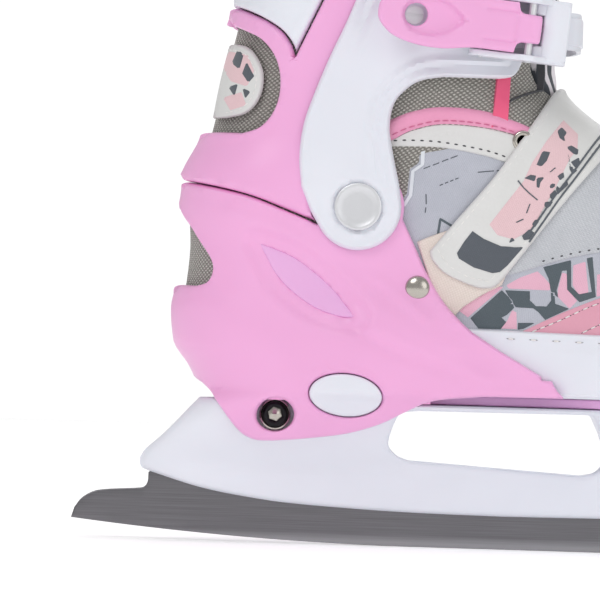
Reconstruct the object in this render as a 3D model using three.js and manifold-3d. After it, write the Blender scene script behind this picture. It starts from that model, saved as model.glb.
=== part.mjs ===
// A child's adjustable soft-boot ice skate, right foot, in millimetres.
// +X points to the toe, +Z up, +Y to the inner side of the foot; the blade stands at Z = 0.
import * as THREE from "three";
import { mergeVertices } from "three/addons/utils/BufferGeometryUtils.js";
import Module from "manifold-3d";

const wasm = await Module();
wasm.setup();

// ---- Driving sizes ----
const GAP = 0.3; // air left between touching pieces
const TOE_X = 139.2; // front of the soft boot at rest
const TAIL_X = -142.6; // rear tip of the blade
const HEEL_HALF = 32; // half width of the soft boot at the heel
const BALL_HALF = 41; // half width of the soft boot at the ball of the foot
const SHIN_HALF = 36; // half width of the shaft at the buckle
const SHELL_WALL = 3; // moulded plastic of the heel shell and the cuff
const TOE_WALL = 2.2; // moulded plastic of the toe shell
const FABRIC = 2.2; // lined textile of the lower boot
const PADDING = 7; // padded lining of the shaft and the tongue
const DECK_Z = 54.4; // top of the blade holder
const FLOOR_WALL = 3.5; // floor of the heel shell
const SHAFT_TOP = 250; // rim of the padded shaft
const TONGUE_TOP = 260; // top of the tongue
const CUFF_TOP = 232; // rim of the cuff
const PIVOT = { x: -37.6, z: 128 }; // ankle pivot of the cuff
const PIVOT_CAP = 9; // radius of the pivot rivet's cap
const PIVOT_SHANK = 3.5; // radius of the pivot rivet's shank
const EAR_RADIUS = 17.6; // rounded ear of the shell under the cuff
const LOBE_RADIUS = 16.3; // rounded end of the white side wing
const BLADE_THICK = 3;
const TANG_DEPTH = 7; // how far the blade reaches up into its holder
const ROCKER_RADIUS = 1200; // curve of the running edge
const ROCKER_MID = 20; // middle of the flat of the running edge
const ROCKER_FLAT = 60; // length of that flat
const BOLT = { x: -66.3, z: 49.2 }; // heel bolt
const BOLT_SHANK = 3;
const BOLT_HEAD = 4.6;
const BOLT_FLANGE = 5.1;
const BUTTON = { x: -40, z: 57.2, long: 26.9, high: 15.5, travel: 3, tilt: 0.07 };
const SHELL_RIVET = { x: -14.3, z: 98.3, head: 4.7, shank: 2.2 };
const EYELET = { x: 23.5, z: 154.6, outer: 3.7, inner: 2.2, thick: 0.7 };
const SIZE_TRAVEL = 18; // three sizes of adjustment
const SIZE_STEP = 6; // one size
const BUCKLE = { x: 23.6, z: 195.9, yaw: 0.09, roll: 0.096, hingeUp: 9.7, pawlUp: 5.2, pawlBack: -17 };
const LADDER_WIDE = 14;
const LADDER_THICK = 2;

// ---- Layers of plastic and cloth, measured outwards from the face of the soft boot ----
const SHELL_IN = 0.5;
const SHELL_OUT = SHELL_IN + SHELL_WALL;
const TOE_OUT = SHELL_IN + TOE_WALL;
const WING_IN = SHELL_OUT + 0.4;
const WING_OUT = WING_IN + SHELL_WALL - 0.2;
const FLARE = TOE_OUT + 0.4 - SHELL_IN; // the heel shell opens by this much to let the toe shell in
const FLOOR_Z = DECK_Z + GAP;
const FLOOR_TOP = FLOOR_Z + FLOOR_WALL;
const SLIDE_Z = FLOOR_TOP + GAP; // the toe shell's floor slides here
const SLIDE_TOP = SLIDE_Z + 2.7;
const SOLE_Z = SLIDE_TOP + 0.4;
const SOLE_WALL = 2.4;
const WIDE = 120; // reach of a cutting block past either side

// ---- Small tools for shapes ----

// Merges a closed geometry's corners and hands it to the solid modeller.
function toSolid(geometry) {
  const loose = geometry.index ? geometry.toNonIndexed() : geometry;
  const bare = new THREE.BufferGeometry();
  bare.setAttribute("position", loose.getAttribute("position"));
  const merged = mergeVertices(bare, 1e-4);
  return new wasm.Manifold(
    new wasm.Mesh({
      numProp: 3,
      vertProperties: merged.getAttribute("position").array,
      triVerts: new Uint32Array(merged.index.array),
    }),
  );
}

// Turns a solid back into a geometry that a mesh can show.
function toGeometry(solid) {
  const mesh = solid.getMesh();
  const geometry = new THREE.BufferGeometry();
  geometry.setAttribute("position", new THREE.BufferAttribute(mesh.vertProperties, 3));
  geometry.setIndex(new THREE.BufferAttribute(mesh.triVerts, 1));
  geometry.computeVertexNormals();
  return geometry;
}

// An outline from steps: a step of one point is a straight run, a longer one a smooth curve.
function outline(steps) {
  const shape = new THREE.Shape();
  shape.moveTo(...steps[0][0]);
  for (const step of steps.slice(1)) {
    const points = step.map(([x, z]) => new THREE.Vector2(x, z));
    if (points.length === 1) {
      shape.lineTo(points[0].x, points[0].y);
    } else {
      shape.splineThru(points);
    }
  }
  return shape;
}

// A side-view shape carried across the skate from one Y to another.
function across(shape, fromY = -WIDE, toY = WIDE, segments = 2) {
  const settings = { depth: toY - fromY, bevelEnabled: false, curveSegments: segments };
  const geometry = new THREE.ExtrudeGeometry(shape, settings);
  geometry.rotateX(Math.PI / 2);
  geometry.translate(0, toY, 0);
  return toSolid(geometry);
}

// A block between two corners.
function block([x0, y0, z0], [x1, y1, z1]) {
  const geometry = new THREE.BoxGeometry(x1 - x0, y1 - y0, z1 - z0);
  geometry.translate((x0 + x1) / 2, (y0 + y1) / 2, (z0 + z1) / 2);
  return toSolid(geometry);
}

// A round bar along Y.
function barY(x, z, radius, fromY, toY, sides = 20) {
  const geometry = new THREE.CylinderGeometry(radius, radius, toY - fromY, sides);
  geometry.translate(x, (fromY + toY) / 2, z);
  return toSolid(geometry);
}

// A round bar along Z.
function barZ(x, y, radius, fromZ, toZ, sides = 16) {
  const geometry = new THREE.CylinderGeometry(radius, radius, toZ - fromZ, sides);
  geometry.rotateX(Math.PI / 2);
  geometry.translate(x, y, (fromZ + toZ) / 2);
  return toSolid(geometry);
}

// An oval bar along Y, its long side turned down a little towards the toe.
function ovalY({ x, z, long, high, tilt }, fromY, toY, grow = 0) {
  const shape = new THREE.Shape();
  shape.absellipse(0, 0, long / 2 + grow, high / 2 + grow, 0, 2 * Math.PI);
  const settings = { depth: toY - fromY, bevelEnabled: false, curveSegments: 24 };
  const geometry = new THREE.ExtrudeGeometry(shape, settings);
  geometry.rotateX(Math.PI / 2);
  geometry.rotateY(tilt);
  geometry.translate(x, toY, z);
  return toSolid(geometry);
}

// ---- The form that every layer follows ----

// Levels of the soft boot, and of the blade holder below the deck:
// height, back, front, half width at the heel, half width at the ball.
const LEVELS = [
  [8, -113, TOE_X - 12, 5.5, 5.5],
  [26, -118, TOE_X - 6, 7.5, 7.5],
  [40, -112, TOE_X - 5, HEEL_HALF - 15, 12],
  [DECK_Z, -98, TOE_X - 5, HEEL_HALF - 3.5, 20],
  [SLIDE_Z, -92.4, TOE_X - 3, HEEL_HALF - 1.5, BALL_HALF - 4],
  [66, -96, TOE_X, HEEL_HALF - 0.5, BALL_HALF],
  [76, -102.4, TOE_X, HEEL_HALF, BALL_HALF + 1],
  [88, -103.6, TOE_X - 6, HEEL_HALF - 0.5, BALL_HALF],
  [98, -101.8, TOE_X - 14, HEEL_HALF - 1, BALL_HALF - 1],
  [112, -100.8, TOE_X - 31, HEEL_HALF - 0.5, BALL_HALF - 4],
  [127, -101.6, TOE_X - 47.5, HEEL_HALF + 1, BALL_HALF - 7],
  [137, -100.4, TOE_X - 58, HEEL_HALF + 1.5, HEEL_HALF + 1.5],
  [154, -94, TOE_X - 77, HEEL_HALF + 1, HEEL_HALF + 1],
  [175.6, -90, TOE_X - 102.3, SHIN_HALF - 2, SHIN_HALF - 2],
  [186, -87.6, TOE_X - 104.2, SHIN_HALF - 1, SHIN_HALF - 1],
  [209, -82.6, TOE_X - 103.2, SHIN_HALF + 2, SHIN_HALF + 2],
  [236, -77, TOE_X - 100.8, SHIN_HALF + 5, SHIN_HALF + 5],
  [TONGUE_TOP + 4, -72, TOE_X - 97.8, SHIN_HALF + 7, SHIN_HALF + 7],
];
const HEEL_ROUND = 34; // length of the rounded heel in plan
const TOE_ROUND = 46; // length of the rounded front in plan
const ARC_STEPS = 5;
const STRAIGHT_STEPS = 5;
const ARCH_X = 28; // the foot widens from here
const BALL_X = 80; // to here

// The five values of LEVELS at any height.
function levelAt(z) {
  const top = LEVELS.findIndex((level) => level[0] >= z);
  if (top <= 0) {
    return LEVELS[top === 0 ? 0 : LEVELS.length - 1];
  }
  const [below, above] = [LEVELS[top - 1], LEVELS[top]];
  const share = (z - below[0]) / (above[0] - below[0]);
  return below.map((value, i) => THREE.MathUtils.lerp(value, above[i], share));
}

// How far the heel shell stands off the form to let the toe shell slide inside it.
function flareAt(x, z) {
  const alongFoot = THREE.MathUtils.smoothstep(x, -62, -36);
  const fromFloor = THREE.MathUtils.smoothstep(z, DECK_Z, SLIDE_Z);
  const toAnkle = THREE.MathUtils.smoothstep(z, 84, 100);
  return FLARE * alongFoot * fromFloor * (1 - toAnkle);
}

// One horizontal ring of the form, grown outwards, anticlockwise from above.
function ring(z, grow, flared) {
  const [, backEdge, frontEdge, heel, ball] = levelAt(z);
  const back = backEdge - grow;
  const front = frontEdge + grow;
  const heelRun = Math.min(HEEL_ROUND + grow, 0.45 * (front - back));
  const toeRun = Math.min(TOE_ROUND + grow, 0.5 * (front - back));
  const side = (x) => {
    const half = THREE.MathUtils.lerp(heel, ball, THREE.MathUtils.smoothstep(x, ARCH_X, BALL_X));
    return half + grow + (flared ? flareAt(x, z) : 0);
  };
  const outer = [];
  for (let i = 1; i <= ARC_STEPS; i += 1) {
    const angle = (i / ARC_STEPS) * (Math.PI / 2);
    const x = back + heelRun * (1 - Math.cos(angle));
    outer.push([x, side(x) * Math.sin(angle)]);
  }
  for (let i = 1; i < STRAIGHT_STEPS; i += 1) {
    const x = THREE.MathUtils.lerp(back + heelRun, front - toeRun, i / STRAIGHT_STEPS);
    outer.push([x, side(x)]);
  }
  for (let i = ARC_STEPS; i >= 1; i -= 1) {
    const angle = (i / ARC_STEPS) * (Math.PI / 2);
    const x = front - toeRun * (1 - Math.cos(angle));
    outer.push([x, side(x) * Math.sin(angle)]);
  }
  const lateral = outer.map(([x, y]) => [x, -y]);
  const medial = outer.slice().reverse();
  return [[back, 0], ...lateral, [front, 0], ...medial];
}

// The solid form between two heights, grown outwards by a layer's offset.
function form(grow, low, high, flared = false) {
  const heights = [low, ...LEVELS.map((level) => level[0]).filter((z) => z > low && z < high), high];
  const rings = heights.map((z) => ring(z, grow, flared));
  const count = rings[0].length;
  const positions = [];
  rings.forEach((points, i) => points.forEach(([x, y]) => positions.push(x, y, heights[i])));
  const faces = [];
  for (let i = 0; i < rings.length - 1; i += 1) {
    for (let k = 0; k < count; k += 1) {
      const a = i * count + k;
      const b = i * count + ((k + 1) % count);
      faces.push(a, b, b + count, a, b + count, a + count);
    }
  }
  const last = (rings.length - 1) * count;
  for (let k = 1; k < count - 1; k += 1) {
    faces.push(0, k + 1, k);
    faces.push(last, last + k, last + k + 1);
  }
  const geometry = new THREE.BufferGeometry();
  geometry.setAttribute("position", new THREE.Float32BufferAttribute(positions, 3));
  geometry.setIndex(faces);
  return toSolid(geometry);
}

// A wall between two offsets of the form, open at both ends.
function wall(inner, outer, low, high, flared = false) {
  return form(outer, low, high, flared).subtract(form(inner, low - 1, high + 1, flared));
}

// How far the form's side stands from the mid-plane at a place in side view.
function sideAt(x, z, grow = 0) {
  const points = ring(z, grow, false);
  const next = points.findIndex(([px]) => px > x);
  const [x0, y0] = points[next - 1];
  const [x1, y1] = points[next];
  return -THREE.MathUtils.mapLinear(x, x0, x1, y0, y1);
}

// ---- Materials ----
const plastic = (color) => new THREE.MeshStandardMaterial({ color, roughness: 0.4, metalness: 0 });
const metal = (color) => new THREE.MeshStandardMaterial({ color, roughness: 0.35, metalness: 1 });
const cloth = (color) => new THREE.MeshStandardMaterial({ color, roughness: 0.9, metalness: 0 });
const PINK = "#efaeda";
const WHITE = "#eef0f5";
const STEEL = "#6f6d6e";
const NICKEL = "#c9cbce";

const skate = new THREE.Group();

function put(name, shape, material) {
  const geometry = shape.isBufferGeometry ? shape : toGeometry(shape);
  const mesh = new THREE.Mesh(geometry, material);
  mesh.name = name;
  skate.add(mesh);
  return mesh;
}

// ---- Blade ----
const HOLDER_EDGE = [[-94, 20.2], [-75, 17], [-56, 15], [-18, 13.1], [60, 13], [TOE_X - 27, 15.5]];
const BLADE_FRONT = TOE_X - 4;

function rockerZ(x) {
  const past = Math.max(0, Math.abs(x - ROCKER_MID) - ROCKER_FLAT / 2);
  return (past * past) / (2 * ROCKER_RADIUS);
}

const edgeStops = [];
for (let step = 0; step <= 6; step += 1) {
  edgeStops.push(THREE.MathUtils.lerp(TAIL_X, ROCKER_MID - ROCKER_FLAT / 2, step / 6));
}
for (let step = 0; step <= 4; step += 1) {
  edgeStops.push(THREE.MathUtils.lerp(ROCKER_MID + ROCKER_FLAT / 2, BLADE_FRONT - 6, step / 4));
}
const holderFoot = [-113.1, 25.3];
const tangTop = HOLDER_EDGE.map(([x, z]) => [x, z + TANG_DEPTH]).reverse();
const bladeShape = outline([
  [[TAIL_X, rockerZ(TAIL_X)]],
  ...edgeStops.slice(1).map((x) => [[x, rockerZ(x)]]),
  [[BLADE_FRONT - 2, 6], [BLADE_FRONT, 12], [BLADE_FRONT - 3, 18], [BLADE_FRONT - 11, 21]],
  ...tangTop.map((point) => [point]),
  [[holderFoot[0] + 6, holderFoot[1] + 4]],
  [[holderFoot[0] - 0.6, holderFoot[1]]],
  [[-113.6, 20.4], [-114.8, 19.5], [-128, 18.5]],
  [[-133.8, 17.8], [-138.3, 15.7], [-141.2, 11.8]],
]);
put("blade", across(bladeShape, -BLADE_THICK / 2, BLADE_THICK / 2), metal(STEEL));

// ---- Blade holder ----
const WINDOW = { rear: -23, front: 57, low: 30, high: DECK_Z - 2 };
const holderShape = outline([
  [holderFoot],
  ...HOLDER_EDGE.map((point) => [point]),
  [[TOE_X - 18, 20], [TOE_X - 12, 30], [TOE_X - 13, DECK_Z]],
  [[-97, DECK_Z]],
  [[-104.2, 45.3], [-109.7, 39.1], [-115.3, 33.9], [-117.1, 30.6]],
  [[-116.2, 27.6]],
]);
const windowShape = outline([
  [[WINDOW.rear + 9, WINDOW.high]],
  [[WINDOW.rear + 2.5, 49.5], [WINDOW.rear, 40.3], [WINDOW.rear + 2.5, 35], [WINDOW.rear + 8, 32.5]],
  [[WINDOW.front - 6, WINDOW.low - 1]],
  [[WINDOW.front - 1, WINDOW.low + 1], [WINDOW.front + 2, 36], [WINDOW.front - 3, WINDOW.high]],
]);
const bladeSlot = across(bladeShape, -BLADE_THICK / 2 - GAP, BLADE_THICK / 2 + GAP);
const slotHalf = BLADE_THICK / 2 + GAP;
const slotTop = block([holderFoot[0] + 2, -slotHalf, 8], [TOE_X - 14, slotHalf, 15]);
const tangRoom = bladeSlot.translate(0, 0, GAP).add(bladeSlot).add(slotTop);
const boltHole = barY(BOLT.x, BOLT.z, BOLT_SHANK + GAP, -WIDE, WIDE, 16);
const BOLT_SEAT = sideAt(BOLT.x, BOLT.z - BOLT_FLANGE) - 2; // flat seat for the bolt head and the nut
const boltSeats = barY(BOLT.x, BOLT.z, BOLT_FLANGE + 0.8, -WIDE, -BOLT_SEAT).add(
  barY(BOLT.x, BOLT.z, BOLT_FLANGE + 0.8, BOLT_SEAT, WIDE),
);
const buttonRoom = ovalY(BUTTON, -WIDE, 0, 0.5).subtract(form(-BUTTON.travel - 2, 30, 80, true));
const SCREW_X = TOE_X - 70;
const SCREW_Y = 9;
const screwHoles = barZ(SCREW_X, -SCREW_Y, 2.6, 34, 80).add(barZ(SCREW_X, SCREW_Y, 2.6, 34, 80));
const holder = across(holderShape)
  .intersect(form(0, 9, DECK_Z))
  .subtract(across(windowShape))
  .subtract(tangRoom)
  .subtract(boltHole)
  .subtract(boltSeats)
  .subtract(buttonRoom)
  .subtract(screwHoles);
put("blade_holder", holder, plastic(WHITE));

// ---- Heel shell ----
const shellShape = outline([
  [[-115, 137.4]],
  [[-104, 135.8]],
  [[-88, 132.9], [-74.6, 129.5], [-57, 122.9]],
  [[-48, 118]],
  [[-20.4, 118]],
  [[-20.1, 126.7]],
  [[-13, 108.3], [-5, 94.1], [6.8, 82.3]],
  [[33.1, 66.4]],
  [[37, 65.3]],
  [[39.8, SLIDE_Z]],
  [[11.7, SLIDE_Z]],
  [[-6.8, 56], [-17, 51.5], [-32, 44.6], [-56.5, 40]],
  [[-73.6, 39.1]],
  [[-79.4, 41.9], [-87.3, 50.4], [-95, 59]],
  [[-115, 60]],
]);
const lowWindowShape = outline([
  [[-112, 119]],
  [[-100.4, 118.4]],
  [[-96.8, 112.8], [-92.4, 105.8], [-93.7, 98.1], [-100.1, 96.4]],
  [[-112, 96.4]],
]);
const RAIL_HALF = 22;
const RAIL_FRONT = SCREW_X + 16;
const shellWall = wall(SHELL_IN, SHELL_OUT, 38, 152, true);
const earDisc = barY(PIVOT.x, PIVOT.z, EAR_RADIUS, -WIDE, WIDE, 32);
const boltWindow = ovalY({ x: BOLT.x, z: BOLT.z, long: 14.4, high: 12.5, tilt: 0 }, -WIDE, WIDE);
const pivotHole = barY(PIVOT.x, PIVOT.z, PIVOT_SHANK + GAP, -WIDE, WIDE, 16);
const rivetHole = barY(SHELL_RIVET.x, SHELL_RIVET.z, SHELL_RIVET.shank + GAP, -WIDE, WIDE, 12);
const RIVET_SIDE = sideAt(SHELL_RIVET.x, SHELL_RIVET.z) + flareAt(SHELL_RIVET.x, SHELL_RIVET.z);
const RIVET_SEAT = RIVET_SIDE + SHELL_OUT - 1; // flat spot under the rivet's head
const rivetSpots = barY(SHELL_RIVET.x, SHELL_RIVET.z, SHELL_RIVET.head + 0.5, -WIDE, -RIVET_SEAT).add(
  barY(SHELL_RIVET.x, SHELL_RIVET.z, SHELL_RIVET.head + 0.5, RIVET_SEAT, WIDE),
);
const heelFloorRoom = block([-115, -WIDE, 50], [12, WIDE, 70]);
const heelFloor = form(SHELL_IN + 1, FLOOR_Z, FLOOR_TOP).intersect(heelFloorRoom);
const screwSink = (y) => barZ(SCREW_X, y, 4.6, FLOOR_TOP - 2, 80);
const screwSinks = screwSink(-SCREW_Y).add(screwSink(SCREW_Y));
const heelShell = shellWall
  .intersect(across(shellShape).add(earDisc))
  .add(heelFloor)
  .add(block([-20, -RAIL_HALF, FLOOR_Z], [RAIL_FRONT, RAIL_HALF, FLOOR_TOP]))
  .subtract(across(lowWindowShape))
  .subtract(boltWindow)
  .subtract(pivotHole)
  .subtract(rivetHole)
  .subtract(rivetSpots)
  .subtract(buttonRoom)
  .subtract(screwHoles)
  .subtract(screwSinks);
put("heel_shell", heelShell, plastic(PINK));

// ---- Heel bolt, its washer and its nut ----
const boltFace = -BOLT_SEAT - GAP;
const boltHead = barY(BOLT.x, BOLT.z, BOLT_HEAD, boltFace - 5.2, boltFace - 1.4);
const hexSocket = barY(BOLT.x, BOLT.z, 2.6, boltFace - 6, boltFace - 2.6, 6);
const boltShank = barY(BOLT.x, BOLT.z, BOLT_SHANK, boltFace - 3, 4, 16);
put("heel_bolt", boltHead.add(boltShank).subtract(hexSocket), metal("#3a3a3c"));
const washer = barY(BOLT.x, BOLT.z, BOLT_FLANGE, boltFace - 1.1, boltFace);
const washerBore = barY(BOLT.x, BOLT.z, BOLT_SHANK + 0.2, -WIDE, WIDE, 16);
put("heel_bolt_washer", washer.subtract(washerBore), metal(NICKEL));
const nutFlange = barY(BOLT.x, BOLT.z, BOLT_FLANGE, BOLT_SEAT + GAP, BOLT_SEAT + GAP + 1.4);
const nutBarrel = barY(BOLT.x, BOLT.z, BOLT_SHANK, 4 + GAP, BOLT_SEAT + 1, 16);
put("heel_bolt_nut", nutBarrel.add(nutFlange), metal(NICKEL));

// ---- Two countersunk screws that hold the rail to the front of the holder ----
for (const [side, y] of [["lateral", -SCREW_Y], ["medial", SCREW_Y]]) {
  const head = barZ(SCREW_X, y, 4.3, FLOOR_TOP - 1.7, FLOOR_TOP - 0.1);
  const shank = barZ(SCREW_X, y, 2.3, 34.5, FLOOR_TOP - 1);
  put(`rail_screw_${side}`, head.add(shank), metal(NICKEL));
}

// ---- Size button, latch, guide and rack ----
const buttonLip = form(BUTTON.travel + 0.6, SLIDE_TOP, 82); // room for the boot behind the upper edge
const buttonBody = ovalY(BUTTON, -WIDE, 0)
  .intersect(form(SHELL_OUT + 1, 30, 80, true))
  .subtract(form(-1, 29, 81, true))
  .subtract(buttonLip);
put("size_button", buttonBody, plastic(WHITE));
const RACK_HALF = 8;
const RACK_Z = SLIDE_Z + 0.1;
const RACK_TOP = RACK_Z + 1.1;
const LATCH_Z = RACK_TOP + GAP;
const LATCH_END = sideAt(BUTTON.x, LATCH_Z) - 2;
const latchBar = block([BUTTON.x - 5, -LATCH_END, LATCH_Z], [BUTTON.x + 5, RACK_HALF + 4, SLIDE_TOP]);
const latchTooth = block([BUTTON.x - 2, RACK_HALF + GAP, RACK_Z], [BUTTON.x + 2, RACK_HALF + 4, SLIDE_TOP]);
put("size_latch", latchBar.add(latchTooth), plastic("#d8d9de"));
const RACK_BACK = BUTTON.x - SIZE_TRAVEL - 6;
const RACK_FRONT = -14;
let rack = block([RACK_BACK, -RACK_HALF, RACK_Z], [RACK_FRONT - GAP, RACK_HALF, RACK_TOP]);
for (let notch = 0; notch * SIZE_STEP <= SIZE_TRAVEL; notch += 1) {
  const x = BUTTON.x - notch * SIZE_STEP;
  rack = rack.subtract(block([x - 2.3, RACK_HALF - 2, 50], [x + 2.3, RACK_HALF + 5, 70]));
}
put("size_rack", rack, plastic("#d8d9de"));
const guideRoom = block([-115, -WIDE, 50], [BUTTON.x - 5.4, WIDE, 70]);
const guideBlank = form(-0.2, SLIDE_Z, SLIDE_TOP).intersect(guideRoom);
const rackRoom = block([RACK_BACK - 1, -RACK_HALF - GAP, 50], [0, RACK_HALF + GAP, 70]);
put("size_guide", guideBlank.subtract(rackRoom).subtract(buttonRoom), plastic("#c9c6cf"));

// ---- Toe shell ----
const toeShape = outline([
  [[RACK_FRONT, SLIDE_Z]],
  [[TOE_X + 20, SLIDE_Z]],
  [[TOE_X + 20, 89]],
  [[TOE_X - 5, 88.5], [TOE_X - 24, 84.5], [TOE_X - 50, 82.2]],
  [[18.2, 83.4]],
  [[RACK_FRONT, 83.6]],
]);
const toeFloorRoom = block([RACK_FRONT, -WIDE, 50], [TOE_X + 20, WIDE, 70]);
const toeFloor = form(SHELL_IN + 1, SLIDE_Z, SLIDE_TOP).intersect(toeFloorRoom);
const toeWall = wall(SHELL_IN, TOE_OUT, SLIDE_Z, 90).intersect(across(toeShape));
put("toe_shell", toeWall.add(toeFloor), plastic(WHITE));

// ---- Lower boot: quarters, vamp, tongue base and footbed ----
const SPLIT = [[8, SOLE_Z - 1], [19, 98], [50, 138], [64, 156]]; // front edge of the quarters
const quarterShape = outline([
  [[-115, SOLE_Z]],
  [SPLIT[0]],
  [SPLIT[1]],
  [SPLIT[2]],
  [[52.5, 141.5]],
  [[29, 159]],
  [[19.5, 162.5], [-7.3, 166], [-26.5, 161]],
  [[-60, 141]],
  [[-80, 134]],
  [[-115, 133]],
]);
const sole = form(-1, SOLE_Z, SOLE_Z + SOLE_WALL);
const quarters = wall(-FABRIC, 0, SOLE_Z, 168).add(sole).intersect(across(quarterShape));
put("boot_quarters", quarters, cloth("#cfd2dc"));
const vampShape = outline([
  [[SPLIT[0][0] + 0.5, SOLE_Z]],
  [[TOE_X + 20, SOLE_Z]],
  [[TOE_X + 20, 160]],
  [[SPLIT[3][0] + 3.5, SPLIT[3][1] + 4]],
  [[SPLIT[2][0] + 0.5, SPLIT[2][1]]],
  [[SPLIT[1][0] + 0.5, SPLIT[1][1]]],
]);
const vamp = wall(-FABRIC, 0, SOLE_Z, 152).add(sole).intersect(across(vampShape));
put("boot_vamp", vamp, cloth("#dfe1e4"));
const tongueBaseShape = outline([
  [[29.4, 159.6]],
  [[52.9, 142.1]],
  [[62, 153.5]],
  [[70, 176]],
  [[29.4, 173.4]],
]);
put("tongue_base", wall(-PADDING, -0.1, 140, 173).intersect(across(tongueBaseShape)), cloth("#f0ccd4"));
const footbedBlank = form(-FABRIC - 1, SOLE_Z + SOLE_WALL + GAP, SOLE_Z + SOLE_WALL + GAP + 3);
put("footbed", footbedBlank.intersect(block([-115, -WIDE, 50], [6, WIDE, 80])), cloth("#8f8d8a"));

// ---- Instep strap, its anchors, rivets and the collar eyelets ----
const strapShape = outline([
  [[37, 177]],
  [[-10.1, 112.1]],
  [[-8.5, 108.4], [-4.5, 104.4], [3, 100.8], [9.5, 99], [14.5, 100]],
  [[60, 156.5]],
  [[80, 180]],
]);
put("instep_strap", wall(1.5, 2.7, 97, 176).intersect(across(strapShape)), cloth("#f3ccd0"));
const anchorShape = outline([
  [[-15.2, 114.4]],
  [[-12.3, 109.2], [-4.4, 95], [-0.5, 90.4]],
  [[16, 97]],
  [[34, 124]],
  [[10, 138]],
]);
const anchors = wall(0.35, 1.2, 88, 140).intersect(across(anchorShape));
const eyelets = wall(GAP, GAP + EYELET.thick, 148, 162)
  .intersect(barY(EYELET.x, EYELET.z, EYELET.outer, -WIDE, WIDE, 16))
  .subtract(barY(EYELET.x, EYELET.z, EYELET.inner, -WIDE, WIDE, 12));
const sides = [["lateral", -1], ["medial", 1]];
for (const [side, sign] of sides) {
  const half = sign < 0 ? block([-200, -WIDE, -1], [200, 0, 400]) : block([-200, 0, -1], [200, WIDE, 400]);
  put(`strap_anchor_${side}`, anchors.intersect(half), cloth("#eadfd8"));
  const dome = new THREE.LatheGeometry(
    [[0, 0], [SHELL_RIVET.head, 0], [SHELL_RIVET.head, 0.7], [3.2, 2], [0, 2.6]]
      .map(([r, h]) => new THREE.Vector2(r, h)),
    16,
  );
  dome.translate(SHELL_RIVET.x, RIVET_SEAT + GAP, SHELL_RIVET.z);
  const { x, z, shank } = SHELL_RIVET;
  const rivetShank = barY(x, z, shank, RIVET_SIDE + SHELL_IN, RIVET_SEAT + 1, 12);
  const rivet = toSolid(dome).add(rivetShank);
  put(`shell_rivet_${side}`, sign < 0 ? rivet.mirror([0, 1, 0]) : rivet, metal("#b9b4ae"));
  put(`eyelet_${side}`, eyelets.intersect(half), metal(NICKEL));
}

// ---- Padded shaft, tongue and back patch, carried by the cuff ----
const shaftShape = outline([
  [[-115, 133.6]],
  [[-80, 134.6]],
  [[-60, 143]],
  [[-37, 163]],
  [[-7, 176.5]],
  [[20, 182.5]],
  [[38, 193]],
  [[60, 193]],
  [[60, SHAFT_TOP + 1]],
  [[-115, SHAFT_TOP + 1]],
]);
const TONGUE_HALF = 23;
const frontNotch = block([12, -TONGUE_HALF - 0.5, 100], [80, TONGUE_HALF + 0.5, 300]);
const shaft = wall(-PADDING, 0, 130, SHAFT_TOP).intersect(across(shaftShape)).subtract(frontNotch);
put("boot_shaft", shaft, cloth("#9c9a93"));
const tongueBlock = block([12, -TONGUE_HALF, 193], [80, TONGUE_HALF, 300]);
put("tongue", wall(-PADDING - 0.5, -0.1, 150, TONGUE_TOP).intersect(tongueBlock), cloth("#e9dfe2"));
const patchShape = outline([
  [[-110, 190]],
  [[-88.2, 188.8]],
  [[-80.1, 186.7], [-74.6, 179], [-75.5, 169], [-80, 163], [-86.1, 160.4]],
  [[-110, 160.4]],
]);
put("back_patch", wall(0.3, 1.3, 150, 200).intersect(across(patchShape)), cloth("#ecebea"));

// ---- Cuff: pink frame, white back panel and side wings ----
const stripeTop = [-41.5, CUFF_TOP - 3];
const frameShape = outline([
  [[-115, 139]],
  [[-104, 136.8]],
  [[-88, 133.9], [-74.6, 130.5], [-57, 123.9]],
  [[-50, 121]],
  [[-50, 134]],
  [[-51.8, 146], [-50.4, 159], [-45, 176], [-36, 195.5]],
  [[stripeTop[0] + 20, stripeTop[1]]],
  [stripeTop],
  [[-63.3, 182.7]],
  [[-64.2, 187.2], [-68.9, 192.8], [-75, 196.6], [-87.1, 202.1]],
  [[-115, 203]],
]);
const backWindowShape = outline([
  [[-112, 195.5]],
  [[-87.2, 194.9]],
  [[-82.2, 192.4], [-75.6, 188.8], [-69.2, 180], [-69.2, 166.2], [-74.7, 158.4], [-82.9, 154.6]],
  [[-95, 154.6]],
  [[-112, 154.6]],
]);
const cuffLayer = wall(SHELL_IN, SHELL_OUT, 120, CUFF_TOP);
const earRoom = barY(PIVOT.x, PIVOT.z, EAR_RADIUS + 1.2, -WIDE, WIDE, 32);
const frame = cuffLayer.intersect(across(frameShape)).subtract(across(backWindowShape)).subtract(earRoom);
put("cuff_frame", frame, plastic(PINK));
const panelShape = outline([
  [[-115, 203.6]],
  [[-87, 202.7]],
  [[-74.7, 197.2], [-68.4, 193.4], [-63.6, 187.6]],
  [[-62.8, 185.2]],
  [[stripeTop[0] - 0.6, stripeTop[1]]],
  [[stripeTop[0] - 2, CUFF_TOP + 1]],
  [[-115, CUFF_TOP + 1]],
]);
put("cuff_back_panel", cuffLayer.intersect(across(panelShape)), plastic(WHITE));
const wingShape = outline([
  [[PIVOT.x - LOBE_RADIUS + 0.4, PIVOT.z - 5]],
  [[PIVOT.x + LOBE_RADIUS, PIVOT.z]],
  [[-22.6, 135.3], [-25.8, 150.4], [-26.9, 161.8], [-25, 167], [-18.9, 174.2], [-10.7, 177.5]],
  [[15.2, 177.6]],
  [[19.7, 178.5], [22.6, 182.4]],
  [[26, 200]],
  [[24, CUFF_TOP - 4]],
  [[18, CUFF_TOP]],
  [[-29, CUFF_TOP]],
  [[-40.1, 207]],
  [[-44.3, 195.5], [-53.2, 176.2], [-58.4, 158.9], [-59.8, 145.6], [-58.3, 134.2]],
]);
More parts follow.
